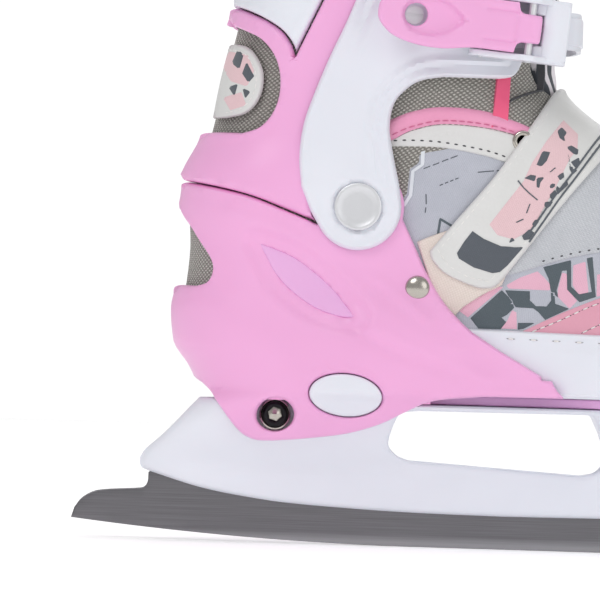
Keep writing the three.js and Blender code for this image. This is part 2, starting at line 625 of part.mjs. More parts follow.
const lobe = barY(PIVOT.x, PIVOT.z, LOBE_RADIUS, -WIDE, WIDE, 32);
const wings = wall(WING_IN, WING_OUT, 108, CUFF_TOP).intersect(across(wingShape).add(lobe));
const CAP_SEAT = sideAt(PIVOT.x, PIVOT.z) + WING_OUT - 1; // bottom of the round recess for the cap
const capRecess = barY(PIVOT.x, PIVOT.z, PIVOT_CAP + 0.7, CAP_SEAT, WIDE, 32);
const pivotRoom = barY(PIVOT.x, PIVOT.z, PIVOT_SHANK + 0.5, 0, WIDE, 20);
const pivotCuts = capRecess.add(pivotRoom);
const cap = barY(PIVOT.x, PIVOT.z, PIVOT_CAP, CAP_SEAT + GAP, CAP_SEAT + GAP + 1.6, 32);
const shankEnd = sideAt(PIVOT.x, PIVOT.z) + SHELL_IN + 0.1;
const capShank = barY(PIVOT.x, PIVOT.z, PIVOT_SHANK, shankEnd, CAP_SEAT + 1, 16);
const pivotRivet = cap.add(capShank);

// ---- Ratchet buckle, in its own frame: u along the strap, v up, w away from the boot ----
const BUCKLE_SEAT = 0.1; // room between the wing and the nearest corner of the buckle's back
const seatReach = [[-50, 6], [-35, 6], [-21, 12], [-12, 12], [0, 12], [15, 12]].map(([u, v]) => {
  const x = BUCKLE.x + u * Math.cos(BUCKLE.roll) + v * Math.sin(BUCKLE.roll);
  const z = BUCKLE.z + v * Math.cos(BUCKLE.roll) - u * Math.sin(BUCKLE.roll);
  return sideAt(x, z, WING_OUT) + Math.tan(BUCKLE.yaw) * x;
});
// How far the buckle's back plane stands from the mid-plane, at X = 0.
const BUCKLE_BACK = Math.max(...seatReach) + BUCKLE_SEAT;
const buckleFrame = new THREE.Matrix4();
const buckleTurn = new THREE.Matrix4().makeRotationZ(BUCKLE.yaw);
const buckleLean = new THREE.Matrix4().makeRotationY(BUCKLE.roll);
const buckleY = -BUCKLE_BACK + Math.tan(BUCKLE.yaw) * BUCKLE.x;
buckleFrame.makeTranslation(BUCKLE.x, buckleY, BUCKLE.z).multiply(buckleTurn).multiply(buckleLean);

// Places a piece drawn with u on X, v on Z and w on -Y.
function placed(solid) {
  const geometry = toGeometry(solid);
  geometry.applyMatrix4(buckleFrame);
  return geometry;
}

// A block in the buckle's own frame.
function buckleBlock(u0, u1, v0, v1, w0, w1) {
  return block([u0, -w1, v0], [u1, -w0, v1]);
}

// A pin in the buckle's own frame, along v.
function bucklePin(u, w, radius, v0, v1, sides = 12) {
  return barZ(u, -w, radius, v0, v1, sides);
}

const RAIL_IN = 10.2;
const RAIL_OUT = 12;
const PIN_R = 1.5;
const PAWL_PIN_R = 0.8;
const TAIL_END = -50;
const baseTail = buckleBlock(TAIL_END, -20, -6, 6, 0, 1.6);
const baseFloor = buckleBlock(-21, 15, -RAIL_OUT, RAIL_OUT, 0, 1.6).add(baseTail);
const railShape = outline([
  [[-21, 0]],
  [[15, 0]],
  [[15, 6.5]],
  [[4, BUCKLE.hingeUp + 2.6], [0, BUCKLE.hingeUp + 3], [-4, BUCKLE.hingeUp + 2.4]],
  [[-13, 8.4]],
  [[-21, 7.4]],
]);
function rail(v0, v1) {
  const settings = { depth: v1 - v0, bevelEnabled: false, curveSegments: 3 };
  const geometry = new THREE.ExtrudeGeometry(railShape, settings);
  geometry.applyMatrix4(new THREE.Matrix4().set(1, 0, 0, 0, 0, -1, 0, 0, 0, 0, -1, v1, 0, 0, 0, 1));
  return toSolid(geometry);
}
const endBlock = buckleBlock(12.6, 15, -RAIL_OUT, RAIL_OUT, 4.6, 6.5);
const pinHole = bucklePin(0, BUCKLE.hingeUp, PIN_R + 0.2, -20, 20);
const pawlPinHole = bucklePin(BUCKLE.pawlBack, BUCKLE.pawlUp, PAWL_PIN_R + 0.2, -20, 20);
const screwU = -43;
const screwHole = barY(screwU, 0, 2.2, -20, 20, 12);
const base = baseFloor
  .add(rail(-RAIL_OUT, -RAIL_IN))
  .add(rail(RAIL_IN, RAIL_OUT))
  .add(endBlock)
  .subtract(pinHole)
  .subtract(pawlPinHole)
  .subtract(screwHole);
put("buckle_base", placed(base), plastic(WHITE));
const leverShape = outline([
  [[2.6, -9.4]],
  [[5.4, -7], [5.6, 0], [5.4, 7], [2.6, 9.4]],
  [[-21, 9.6]],
  [
    [-30, 11.4], [-42, 11], [-52, 8.4], [-57, 3], [-57.4, 0],
    [-57, -3], [-52, -8.4], [-42, -11], [-30, -11.4], [-21, -9.6],
  ],
]);
const LEVER_HALF = 1.8; // half the lever's thickness
const leverFoot = BUCKLE.hingeUp - LEVER_HALF;
const leverBlank = across(leverShape, -BUCKLE.hingeUp - LEVER_HALF, -leverFoot);
const barrel = bucklePin(0, BUCKLE.hingeUp, 2.9, -9.8, 9.8, 16);
const tipCut = buckleBlock(3.1, 8, -20, 20, 0, BUCKLE.hingeUp); // the thin tip clears the strap as it turns
const hollow = buckleBlock(-35, -6, -8, 8, 0, BUCKLE.hingeUp + 0.4);
const springRoom = buckleBlock(-3.7, 3.7, -4.4, 4.4, 0, BUCKLE.hingeUp + 3.4);
const screwRoom = barY(screwU, 0, 4.6, -20, 0, 16);
const lever = leverBlank
  .add(barrel)
  .subtract(tipCut)
  .subtract(hollow)
  .subtract(springRoom)
  .subtract(screwRoom)
  .subtract(bucklePin(0, BUCKLE.hingeUp, PIN_R + 0.3, -20, 20));
put("buckle_lever", placed(lever), plastic(PINK));
const leverPin = bucklePin(0, BUCKLE.hingeUp, PIN_R, -RAIL_OUT - 0.6, RAIL_OUT + 0.6);
put("lever_pin", placed(leverPin), metal(NICKEL));

// Torsion spring: a helix of wire round the lever's pin.
class SpringCurve extends THREE.Curve {
  getPoint(t, target = new THREE.Vector3()) {
    const turns = 4;
    const angle = 2 * Math.PI * turns * t;
    const radius = 2.35;
    return target.set(radius * Math.cos(angle), radius * Math.sin(angle) - BUCKLE.hingeUp, -3.4 + 6.8 * t);
  }
}
const wire = new THREE.Shape();
wire.absarc(0, 0, 0.4, 0, 2 * Math.PI);
const coil = new THREE.ExtrudeGeometry(wire, {
  extrudePath: new SpringCurve(),
  steps: 36,
  curveSegments: 5,
  bevelEnabled: false,
});
put("lever_spring", placed(toSolid(coil)), metal(NICKEL));
const pawlPlate = buckleBlock(-31, BUCKLE.pawlBack + 1.8, -7.6, 7.6, 4.6, 6.1);
const pawlBarrel = bucklePin(BUCKLE.pawlBack, BUCKLE.pawlUp, 1.9, -7.7, 7.7, 14);
const barrelRoom = buckleBlock(-40, 0, -20, 20, 4.45, 9);
const pawlBore = bucklePin(BUCKLE.pawlBack, BUCKLE.pawlUp, PAWL_PIN_R + 0.25, -20, 20);
const pawl = pawlPlate.add(pawlBarrel.intersect(barrelRoom)).subtract(pawlBore);
put("release_pawl", placed(pawl), plastic(WHITE));
const pawlPin = bucklePin(BUCKLE.pawlBack, BUCKLE.pawlUp, PAWL_PIN_R, -RAIL_OUT - 0.5, RAIL_OUT + 0.5);
put("pawl_pin", placed(pawlPin), metal(NICKEL));
const screwSlot = block([screwU - 4, -4, -0.5], [screwU + 4, -2.8, 0.5]);
const screwHead = barY(screwU, 0, 3.6, -3.4, -1.9, 16).subtract(screwSlot);
put("buckle_screw", placed(screwHead.add(barY(screwU, 0, 1.9, -2.2, 3, 12))), metal("#d9d6cf"));

// ---- The cuff's side wings, with the seat for the buckle on the outer one ----
const padBlank = toSolid(placed(buckleBlock(TAIL_END, 4, -9, 9, -9, -GAP)));
const pad = padBlank.subtract(form(WING_IN, 150, 250)).intersect(form(30, 186, 208));
const screwWell = toSolid(placed(barY(screwU, 0, 2.2, -1, 3.6, 12)));
const LADDER_SCREW = { x: -4, z: BUCKLE.z };
for (const [side, sign] of sides) {
  const half = sign < 0 ? block([-200, -WIDE, -1], [200, 0, 400]) : block([-200, 0, -1], [200, WIDE, 400]);
  const cuts = sign < 0 ? pivotCuts.mirror([0, 1, 0]) : pivotCuts;
  let wing = wings.intersect(half).subtract(cuts);
  if (sign < 0) {
    wing = wing.add(pad).subtract(screwWell);
  } else {
    wing = wing.subtract(barY(LADDER_SCREW.x, LADDER_SCREW.z, 2.2, 0, WIDE, 12));
  }
  put(`cuff_wing_${side}`, wing, plastic(WHITE));
  put(`pivot_rivet_${side}`, sign < 0 ? pivotRivet.mirror([0, 1, 0]) : pivotRivet, metal(NICKEL));
}

// ---- Ladder strap round the shin, its screw and its nut ----
const alongU = new THREE.Vector2(Math.cos(BUCKLE.yaw), Math.sin(BUCKLE.yaw));
const alongW = new THREE.Vector2(Math.sin(BUCKLE.yaw), -Math.cos(BUCKLE.yaw));
const inBuckle = (u, w) => [
  BUCKLE.x + u * alongU.x + w * alongW.x,
  buckleY + u * alongU.y + w * alongW.y,
];
const medialFace = SHIN_HALF + WING_OUT + 0.9;
const shinFront = TOE_X - 88.6; // the strap stands clear of the tongue
const strapLine = [
  inBuckle(-27, 3),
  inBuckle(-6, 3),
  inBuckle(9, 3),
  inBuckle(17, 3),
  [shinFront - 3, -26],
  [shinFront, 0],
  [shinFront - 6, 27],
  [BUCKLE.x + 3, medialFace],
  [BUCKLE.x - 15, medialFace + 1.6],
  [LADDER_SCREW.x - 8, medialFace + 1.6],
];
const ladderCurve = new THREE.CatmullRomCurve3(
  strapLine.map(([x, y]) => new THREE.Vector3(x, y, 0)),
  false,
  "centripetal",
);
const LADDER_STEPS = 36;
const outerEdge = [];
const innerEdge = [];
for (let i = 0; i <= LADDER_STEPS; i += 1) {
  const point = ladderCurve.getPoint(i / LADDER_STEPS);
  const tangent = ladderCurve.getTangent(i / LADDER_STEPS);
  const [nx, ny] = [tangent.y, -tangent.x];
  outerEdge.push(new THREE.Vector2(point.x + (nx * LADDER_THICK) / 2, point.y + (ny * LADDER_THICK) / 2));
  innerEdge.push(new THREE.Vector2(point.x - (nx * LADDER_THICK) / 2, point.y - (ny * LADDER_THICK) / 2));
}
const ladderPlan = new THREE.Shape([...outerEdge, ...innerEdge.reverse()]);
const ladder = new THREE.ExtrudeGeometry(ladderPlan, { depth: LADDER_WIDE, bevelEnabled: false });
ladder.translate(0, 0, BUCKLE.z - LADDER_WIDE / 2);
const ladderSolid = toSolid(ladder).subtract(barY(LADDER_SCREW.x, LADDER_SCREW.z, 2.2, 0, WIDE, 12));
put("ladder_strap", ladderSolid, plastic("#f4f4f6"));
const ladderFace = medialFace + 1.6 + LADDER_THICK / 2;
const ladderHead = barY(LADDER_SCREW.x, LADDER_SCREW.z, 4.4, ladderFace + GAP, ladderFace + GAP + 1.6);
const ladderEnd = SHIN_HALF + WING_IN + 0.6;
const ladderShank = barY(LADDER_SCREW.x, LADDER_SCREW.z, 1.9, ladderEnd, ladderFace + 1, 12);
put("ladder_screw", ladderHead.add(ladderShank), metal(NICKEL));

// The origin is the middle of the footprint, on the ice.
const extent = new THREE.Box3().setFromObject(skate);
const middle = extent.getCenter(new THREE.Vector3());
skate.position.set(-middle.x, -middle.y, -extent.min.z);

export default skate;
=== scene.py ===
"""A child's adjustable soft-boot ice skate, right foot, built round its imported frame.

Sizes are millimetres in the part's own drawing frame: X from the middle of the footprint to the toe,
Z up from the ice, Y from the skate's mid-plane to the inner side of the foot."""
import numpy as np
import bpy
from mathutils import Matrix, Vector
from mathutils.geometry import delaunay_2d_cdt


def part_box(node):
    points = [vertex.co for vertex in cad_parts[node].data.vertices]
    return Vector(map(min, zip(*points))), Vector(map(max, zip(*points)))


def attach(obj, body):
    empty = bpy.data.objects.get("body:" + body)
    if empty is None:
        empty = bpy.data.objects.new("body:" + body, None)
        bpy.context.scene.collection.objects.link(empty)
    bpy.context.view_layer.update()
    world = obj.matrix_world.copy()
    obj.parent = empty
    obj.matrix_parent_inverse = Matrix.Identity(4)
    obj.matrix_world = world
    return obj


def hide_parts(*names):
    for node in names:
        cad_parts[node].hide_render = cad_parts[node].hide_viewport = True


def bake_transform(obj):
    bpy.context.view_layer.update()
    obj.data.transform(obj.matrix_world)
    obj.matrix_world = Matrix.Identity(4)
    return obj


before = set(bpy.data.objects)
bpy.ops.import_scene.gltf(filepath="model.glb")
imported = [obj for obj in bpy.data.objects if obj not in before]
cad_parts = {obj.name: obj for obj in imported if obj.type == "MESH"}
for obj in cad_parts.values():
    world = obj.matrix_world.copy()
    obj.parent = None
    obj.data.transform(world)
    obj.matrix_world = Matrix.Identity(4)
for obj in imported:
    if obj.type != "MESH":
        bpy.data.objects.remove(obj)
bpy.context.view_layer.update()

# ---------------------------------------------------------------- blade
# Hardened stainless strip, 3 mm thick, ground along its length, with the running edge ground brighter.
# It is cut to a long tail and a rounded front, and its tang sits in the holder's slot.
MM = 0.001
TAIL_X = -142.6
blade_low, blade_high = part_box("blade")
SHIFT = np.array([blade_low[0] - TAIL_X * MM, (blade_low[1] + blade_high[1]) / 2, 0.0])


def smooth_through(points, step):
    """A Catmull-Rom curve through the points: each span is the cubic whose slope at a point is half the chord
    between that point's neighbours."""
    points = np.asarray(points, float)
    padded = np.vstack([2 * points[0] - points[1], points, 2 * points[-1] - points[-2]])
    spans = []
    for a, b, c, d in zip(padded, padded[1:], padded[2:], padded[3:]):
        count = max(2, int(np.ceil(np.linalg.norm(c - b) / step)))
        t = np.linspace(0, 1, count, endpoint=False)[:, None]
        cubic = 2 * b + (c - a) * t + (2 * a - 5 * b + 4 * c - d) * t**2 + (3 * b - a - 3 * c + d) * t**3
        spans.append(cubic / 2)
    return np.vstack(spans + [points[-1:]])


def outline(steps, step=1.3, closed=True):
    """A drawn line: a step of one point is a straight run to it, and a longer step is a smooth curve through
    its points."""
    line = np.array([steps[0][0]], float)
    route = [*steps[1:], [steps[0][0]]] if closed else steps[1:]
    for points in route:
        if len(points) == 1:
            count = max(1, int(np.ceil(np.linalg.norm(np.subtract(points[0], line[-1])) / step)))
            t = np.linspace(0, 1, count + 1)[1:, None]
            run = line[-1] * (1 - t) + np.array(points[0], float) * t
        else:
            run = smooth_through([line[-1], *points], step)[1:]
        line = np.vstack([line, run])
    return line[:-1] if closed else line


def signed_distance(points, loops):
    """Distance of each point to the nearest side of the loops, positive inside by the even-odd rule."""
    starts = np.vstack(loops)
    ends = np.vstack([np.roll(loop, -1, axis=0) for loop in loops])
    along = ends - starts
    length = np.maximum((along**2).sum(1), 1e-12)
    nearest = np.full(len(points), 1e9)
    crossings = np.zeros(len(points), int)
    for low in range(0, len(starts), 64):
        a, b, d = starts[low:low + 64], ends[low:low + 64], along[low:low + 64]
        offset = points[:, None] - a
        t = np.clip((offset * d).sum(2) / length[low:low + 64], 0, 1)
        gap = ((offset - t[..., None] * d) ** 2).sum(2)
        nearest = np.minimum(nearest, gap.min(1))
        straddles = (a[:, 1] > points[:, 1:]) != (b[:, 1] > points[:, 1:])
        rise = np.where(np.abs(d[:, 1]) < 1e-12, 1e-12, d[:, 1])
        meets = points[:, :1] < a[:, 0] + (points[:, 1:] - a[:, 1]) * d[:, 0] / rise
        crossings += (straddles & meets).sum(1)
    return np.sqrt(nearest) * np.where(crossings % 2 == 1, 1, -1)


def fill(loops, spacing, rounding):
    """Triangles over a flat region: its boundary, four rows of points inside it for a rounded edge, and a grid."""
    rows = list(loops)
    for share in (0.1, 0.35, 0.68, 1.0):
        for loop in loops:
            tangent = np.roll(loop, -1, axis=0) - np.roll(loop, 1, axis=0)
            normal = np.column_stack([-tangent[:, 1], tangent[:, 0]])
            normal /= np.maximum(np.linalg.norm(normal, axis=1), 1e-9)[:, None]
            for side in (1, -1):
                row = loop + side * normal * rounding * share
                reach = signed_distance(row, loops)
                rows.append(row[np.abs(reach - rounding * share) < 0.12 * rounding * share + 0.01])
    every = np.vstack(loops)
    low, high = every.min(0), every.max(0)
    across, up = np.meshgrid(np.arange(low[0], high[0], spacing), np.arange(low[1], high[1], spacing * 0.866))
    across[1::2] += spacing / 2
    grid = np.column_stack([across.ravel(), up.ravel()])
    rows.append(grid[signed_distance(grid, loops) > rounding + 0.45 * spacing])
    points = np.vstack(rows)
    edges = []
    first = 0
    for loop in loops:
        index = np.arange(first, first + len(loop))
        edges += np.column_stack([index, np.roll(index, -1)]).tolist()
        first += len(loop)
    made = delaunay_2d_cdt([Vector(p) for p in points], edges, [], 0, 1e-5)
    points = np.array(made[0], float)
    triangles = np.array(made[2], int)
    inside = signed_distance(points[triangles].mean(1), loops) > 1e-4
    triangles = triangles[inside]
    used, triangles = np.unique(triangles, return_inverse=True)
    points = points[used]
    distance = np.maximum(signed_distance(points, loops), 0)
    distance[distance < 2e-3] = 0
    return points, triangles.reshape(-1, 3), distance


def round_over(distance, radius):
    """0 at the edge and 1 from one radius inside it, along a quarter circle."""
    return np.sqrt(1 - (1 - np.clip(distance / radius, 0, 1)) ** 2)


def border(triangles):
    """The directed edges that only one triangle uses."""
    edges = triangles[:, [0, 1, 1, 2, 2, 0]].reshape(-1, 2)
    key = np.sort(edges, axis=1)
    _, where, count = np.unique(key, axis=0, return_inverse=True, return_counts=True)
    return edges[count[where.ravel()] == 1]


def solid(name, points, faces, surface=None, creases=40, chart=None):
    """A mesh object from millimetre points, with its faces turned outwards and hard only past the crease angle."""
    points = np.asarray(points, float) * MM + SHIFT
    around = points - points.mean(0)
    tri = np.array([f[:3] for f in faces])
    size = np.array([len(f) for f in faces])
    extra = [[f[0], f[2], f[3]] for f in faces if len(f) == 4]
    every = np.vstack([tri, extra]) if extra else tri
    a, b, c = (around[every[:, i]] for i in range(3))
    if (a * np.cross(b, c)).sum() < 0:
        faces = [f[::-1] for f in faces]
    mesh = bpy.data.meshes.new(name)
    mesh.from_pydata(points.tolist(), [], faces)
    mesh.update()
    mesh.polygons.foreach_set("use_smooth", np.ones(len(size), bool))
    mesh.set_sharp_from_angle(angle=np.radians(creases))
    if chart is not None:
        corners = np.empty(len(mesh.loops), int)
        mesh.loops.foreach_get("vertex_index", corners)
        layer = mesh.uv_layers.new(name="UVMap")
        layer.data.foreach_set("uv", (np.asarray(chart)[corners] * 0.01).ravel())
    made = bpy.data.objects.new(name, mesh)
    bpy.context.scene.collection.objects.link(made)
    if surface is not None:
        mesh.materials.append(surface)
    return made


def flat_lay(u, v, w):
    """Side view: u is X, v is Z and w is Y."""
    return np.column_stack([u, w, v])


def slab(name, loops, top, bottom, surface, spacing=2.0, rounding=1.0, lay=flat_lay):
    """A piece cut to an outline: a top and a bottom face, joined by a wall along the edge. The bottom is a function
    of the place and its distance from the edge as the top is, or one level, or None for the top's mirror image."""
    points, triangles, distance = fill(loops, spacing, rounding)
    u, v = points.T
    crown = top(u, v, distance)
    base = -crown if bottom is None else bottom(u, v, distance) if callable(bottom) else bottom + 0 * distance
    upper, lower = lay(u, v, crown), lay(u, v, base)
    count = len(points)
    edges = border(triangles)
    wall = np.column_stack([edges[:, 1], edges[:, 0], edges[:, 0] + count, edges[:, 1] + count])
    faces = triangles.tolist() + (triangles[:, ::-1] + count).tolist() + wall.tolist()
    return solid(name, np.vstack([upper, lower]), faces, surface, chart=np.vstack([points, points]))


def dressed(piece, body="chassis"):
    """Gives a finished piece the body that it moves with."""
    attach(piece, body)
    return piece


def linear(hexadecimal):
    """An sRGB hex colour as linear red, green, blue and alpha."""
    channel = np.array([int(hexadecimal[i:i + 2], 16) for i in (1, 3, 5)]) / 255
    return (*np.where(channel <= 0.04045, channel / 12.92, ((channel + 0.055) / 1.055) ** 2.4), 1.0)


def new_material(name, colour, roughness, metallic=0.0, ior=None):
    """A material with its node tree and its Principled shader."""
    material = bpy.data.materials.new(name)
    material.use_nodes = True
    shader = material.node_tree.nodes["Principled BSDF"]
    shader.inputs["Base Color"].default_value = linear(colour)
    shader.inputs["Roughness"].default_value = roughness
    shader.inputs["Metallic"].default_value = metallic
    if ior is not None:
        shader.inputs["IOR"].default_value = ior
    return material, material.node_tree, shader


def add(tree, kind, inputs={}, **settings):
    """Adds a shader node, with its settings, its input values and its input links."""
    made = tree.nodes.new("ShaderNode" + kind)
    for key, value in settings.items():
        setattr(made, key, value)
    for key, value in inputs.items():
        if isinstance(value, bpy.types.NodeSocket):
            tree.links.new(value, made.inputs[key])
        else:
            made.inputs[key].default_value = value
    return made


def object_space(tree, scale=(1, 1, 1), turn=(0, 0, 0)):
    """Object coordinates in metres, scaled and turned."""
    place = add(tree, "TexCoord").outputs["Object"]
    return add(tree, "Mapping", {"Vector": place, "Scale": scale, "Rotation": turn}).outputs["Vector"]


def noise(tree, scale, detail):
    """Fractal noise by place; the scale is its cells to the metre along each axis."""
    return add(tree, "TexNoise", {"Vector": object_space(tree, scale), "Scale": 1.0, "Detail": detail})


def blend_colours(tree, share, low, high):
    """A colour between two others by a share from 0 to 1; either may be a hex colour or a socket."""
    low, high = (linear(c) if isinstance(c, str) else c for c in (low, high))
    return add(tree, "Mix", {0: share, 6: low, 7: high}, data_type="RGBA").outputs[2]


def bumped(tree, shader, height, strength, distance):
    """Lets the shader's normal follow a height, whose full step is a distance in metres."""
    bump = add(tree, "Bump", {"Strength": strength, "Distance": distance, "Height": height})
    tree.links.new(bump.outputs["Normal"], shader.inputs["Normal"])


def ground_steel():
    """Stainless ground lengthwise: fine streaks along X that catch the light, brighter along the running edge."""
    material, tree, shader = new_material("stainless_ground_lengthwise", "#77767a", 0.34, 1.0)
    streaks = noise(tree, (25, 1, 3200), 4)
    cloud = noise(tree, (14, 14, 40), 2)
    colour = blend_colours(tree, streaks.outputs["Fac"], "#5f5e61", "#8b8a8e")
    height = add(tree, "SeparateXYZ", {0: add(tree, "TexCoord").outputs["Object"]}).outputs["Z"]
    edge = add(tree, "MapRange", {0: height, 1: 0.0015, 2: 0.0045, 3: 0.55, 4: 0.0}).outputs[0]
    tree.links.new(blend_colours(tree, edge, colour, "#b4b3b6"), shader.inputs["Base Color"])
    rough = add(tree, "MapRange", {0: cloud.outputs["Fac"], 3: 0.28, 4: 0.44}).outputs[0]
    tree.links.new(rough, shader.inputs["Roughness"])
    bumped(tree, shader, streaks.outputs["Fac"], 0.12, 0.0002)
    shader.inputs["Anisotropic"].default_value = 0.5
    return material


TOE_X = 139.2
BLADE_FRONT = TOE_X - 4
ROCKER_RADIUS = 1200
ROCKER_MID = 20
ROCKER_FLAT = 60


def rocker(x):
    """Height of the running edge: level over its middle, then a parabola of the rocker's radius to each end."""
    past = np.maximum(0, np.abs(x - ROCKER_MID) - ROCKER_FLAT / 2)
    return past**2 / (2 * ROCKER_RADIUS)


edge_x = np.linspace(TAIL_X, BLADE_FRONT - 7, 160)
blade_loop = outline([
    [(TAIL_X, rocker(TAIL_X))],
    *[[(x, rocker(x))] for x in edge_x[1:]],
    [(BLADE_FRONT - 1.5, 7), (BLADE_FRONT, 13), (BLADE_FRONT - 3, 18.5), (BLADE_FRONT - 10, 21)],
    [(60, 20)], [(0, 20)], [(-75, 24)], [(-107, 29.3)], [(-113.7, 25.3)],
    [(-113.9, 21.6), (-115.4, 19.6), (-119, 19.1)],
    [(-128, 18.5)],
    [(-133.8, 17.6), (-138.6, 14.9), (-141.4, 11.2)],
])
steel = ground_steel()
blade = slab(
    "blade_steel", [blade_loop],
    lambda u, v, d: 1.15 + 0.35 * round_over(d, 0.5), None, steel, spacing=3.0, rounding=0.5)
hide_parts("blade")
dressed(blade)

# ---------------------------------------------------------------- blade holder
# One white glass-filled nylon moulding that narrows from the deck down to the blade, with a long
# see-through window and a thin bar above it. The blade is clamped in its slot.
HEEL_HALF, BALL_HALF, SHIN_HALF = 32, 41, 36
DECK_Z = 54.4
SLIDE_Z = 58.5
LEVELS = np.array([
    [8, -113, TOE_X - 12, 5.5, 5.5],
    [26, -118, TOE_X - 6, 7.5, 7.5],
    [40, -112, TOE_X - 5, HEEL_HALF - 15, 12],
    [DECK_Z, -98, TOE_X - 5, HEEL_HALF - 3.5, 20],
    [SLIDE_Z, -92.4, TOE_X - 3, HEEL_HALF - 1.5, BALL_HALF - 4],
    [66, -96, TOE_X, HEEL_HALF - 0.5, BALL_HALF],
    [76, -102.4, TOE_X, HEEL_HALF, BALL_HALF + 1],
    [88, -103.6, TOE_X - 6, HEEL_HALF - 0.5, BALL_HALF],
    [98, -101.8, TOE_X - 14, HEEL_HALF - 1, BALL_HALF - 1],
    [112, -100.8, TOE_X - 31, HEEL_HALF - 0.5, BALL_HALF - 4],
    [127, -101.6, TOE_X - 47.5, HEEL_HALF + 1, BALL_HALF - 7],
    [137, -100.4, TOE_X - 58, HEEL_HALF + 1.5, HEEL_HALF + 1.5],
    [154, -94, TOE_X - 77, HEEL_HALF + 1, HEEL_HALF + 1],
    [175.6, -90, TOE_X - 102.3, SHIN_HALF - 2, SHIN_HALF - 2],
    [186, -87.6, TOE_X - 104.2, SHIN_HALF - 1, SHIN_HALF - 1],
    [209, -82.6, TOE_X - 103.2, SHIN_HALF + 2, SHIN_HALF + 2],
    [236, -77, TOE_X - 100.8, SHIN_HALF + 5, SHIN_HALF + 5],
    [264, -72, TOE_X - 97.8, SHIN_HALF + 7, SHIN_HALF + 7],
], float)
HEEL_ROUND, TOE_ROUND = 34.0, 46.0
HEEL_ARC, TOE_ARC = 52.0, 66.0
ARCH_X, BALL_X = 28, 80


def cubic_levels():
    """Slopes for a monotone cubic through the levels: the harmonic mean of the two chords, or 0 where they turn."""
    chord = np.diff(LEVELS[:, 1:], axis=0) / np.diff(LEVELS[:, 0])[:, None]
    same = chord[:-1] * chord[1:] > 0
    mean = 2 * chord[:-1] * chord[1:] / np.where(same, chord[:-1] + chord[1:], 1)
    return np.vstack([chord[:1], np.where(same, mean, 0), chord[-1:]])


SLOPES = cubic_levels()


def level(z):
    """Back, front and the two half widths of the boot's form at a height, by the cubic through the levels."""
    z = np.clip(np.asarray(z, float), LEVELS[0, 0], LEVELS[-1, 0])
    k = np.clip(np.searchsorted(LEVELS[:, 0], z) - 1, 0, len(LEVELS) - 2)
    width = LEVELS[k + 1, 0] - LEVELS[k, 0]
    t = ((z - LEVELS[k, 0]) / width)[..., None]
    h = width[..., None]
    rise = LEVELS[k, 1:] * (1 + 2 * t) * (1 - t) ** 2 + LEVELS[k + 1, 1:] * t**2 * (3 - 2 * t)
    lean = SLOPES[k] * h * t * (1 - t) ** 2 + SLOPES[k + 1] * h * t**2 * (t - 1)
    return np.moveaxis(rise + lean, -1, 0)


def ease(value, low, high):
    """0 below low, 1 above high, and a smooth S between."""
    t = np.clip((value - low) / (high - low), 0, 1)
    return t * t * (3 - 2 * t)


def ridge(off, width):
    """A rounded ridge: a bell curve, exp(-(off / width) squared), of the distance from its middle."""
    return np.exp(-((off / width) ** 2))


FLARE = 2.6


def flare(x, z):
    """The heel shell's extra width where the toe shell slides inside it."""
    return FLARE * ease(x, -62, -36) * ease(z, DECK_Z, SLIDE_Z) * (1 - ease(z, 84, 100))


def on_form(q, z, grow, flared=0.0):
    """A point on the form: q runs round it from the middle of the heel, minus on the outer side of the foot.
    In plan it is a quarter ellipse round the heel, a side that widens to the ball, and a quarter ellipse in front."""
    back, front, heel, ball = level(z)
    a = np.abs(q)
    straight = (front - TOE_ROUND) - (back + HEEL_ROUND)
    turn_back = np.clip(a / HEEL_ARC, 0, 1) * np.pi / 2
    turn_front = np.clip((HEEL_ARC + straight + TOE_ARC - a) / TOE_ARC, 0, 1) * np.pi / 2
    x_back = back - grow + (HEEL_ROUND + grow) * (1 - np.cos(turn_back))
    x_front = front + grow - (TOE_ROUND + grow) * (1 - np.cos(turn_front))
    x_side = back + HEEL_ROUND + (a - HEEL_ARC)
    x = np.where(a < HEEL_ARC, x_back, np.where(a > HEEL_ARC + straight, x_front, x_side))
    half = heel + (ball - heel) * ease(x, ARCH_X, BALL_X) + grow + flared * flare(x, z)
    y = half * np.sin(turn_back) * np.sin(turn_front) * np.sign(q)
    return np.column_stack([x, y, z])


def reach(z):
    """Length round one side of the form, from the middle of the heel to the middle of the front."""
    back, front, _, _ = level(z)
    return HEEL_ARC + (front - TOE_ROUND) - (back + HEEL_ROUND) + TOE_ARC


def round_of(x, z, grow=0.0):
    """The inverse of on_form on one side: how far round the form a place in side view lies."""
    back, front, _, _ = level(z)
    rear = np.clip(1 - (x - back + grow) / (HEEL_ROUND + grow), -1, 1)
    fore = np.clip(1 - (front + grow - x) / (TOE_ROUND + grow), -1, 1)
    from_back = HEEL_ARC * np.arccos(rear) / (np.pi / 2)
    from_front = reach(z) - TOE_ARC * np.arccos(fore) / (np.pi / 2)
    side = HEEL_ARC + x - back - HEEL_ROUND
    return np.where(x < back + HEEL_ROUND, from_back, np.where(x > front - TOE_ROUND, from_front, side))


def half_width(x, z, grow=0.0):
    """How far the form's side stands from the mid-plane at a place in side view."""
    return np.abs(on_form(round_of(x, z, grow), z, grow)[:, 1])


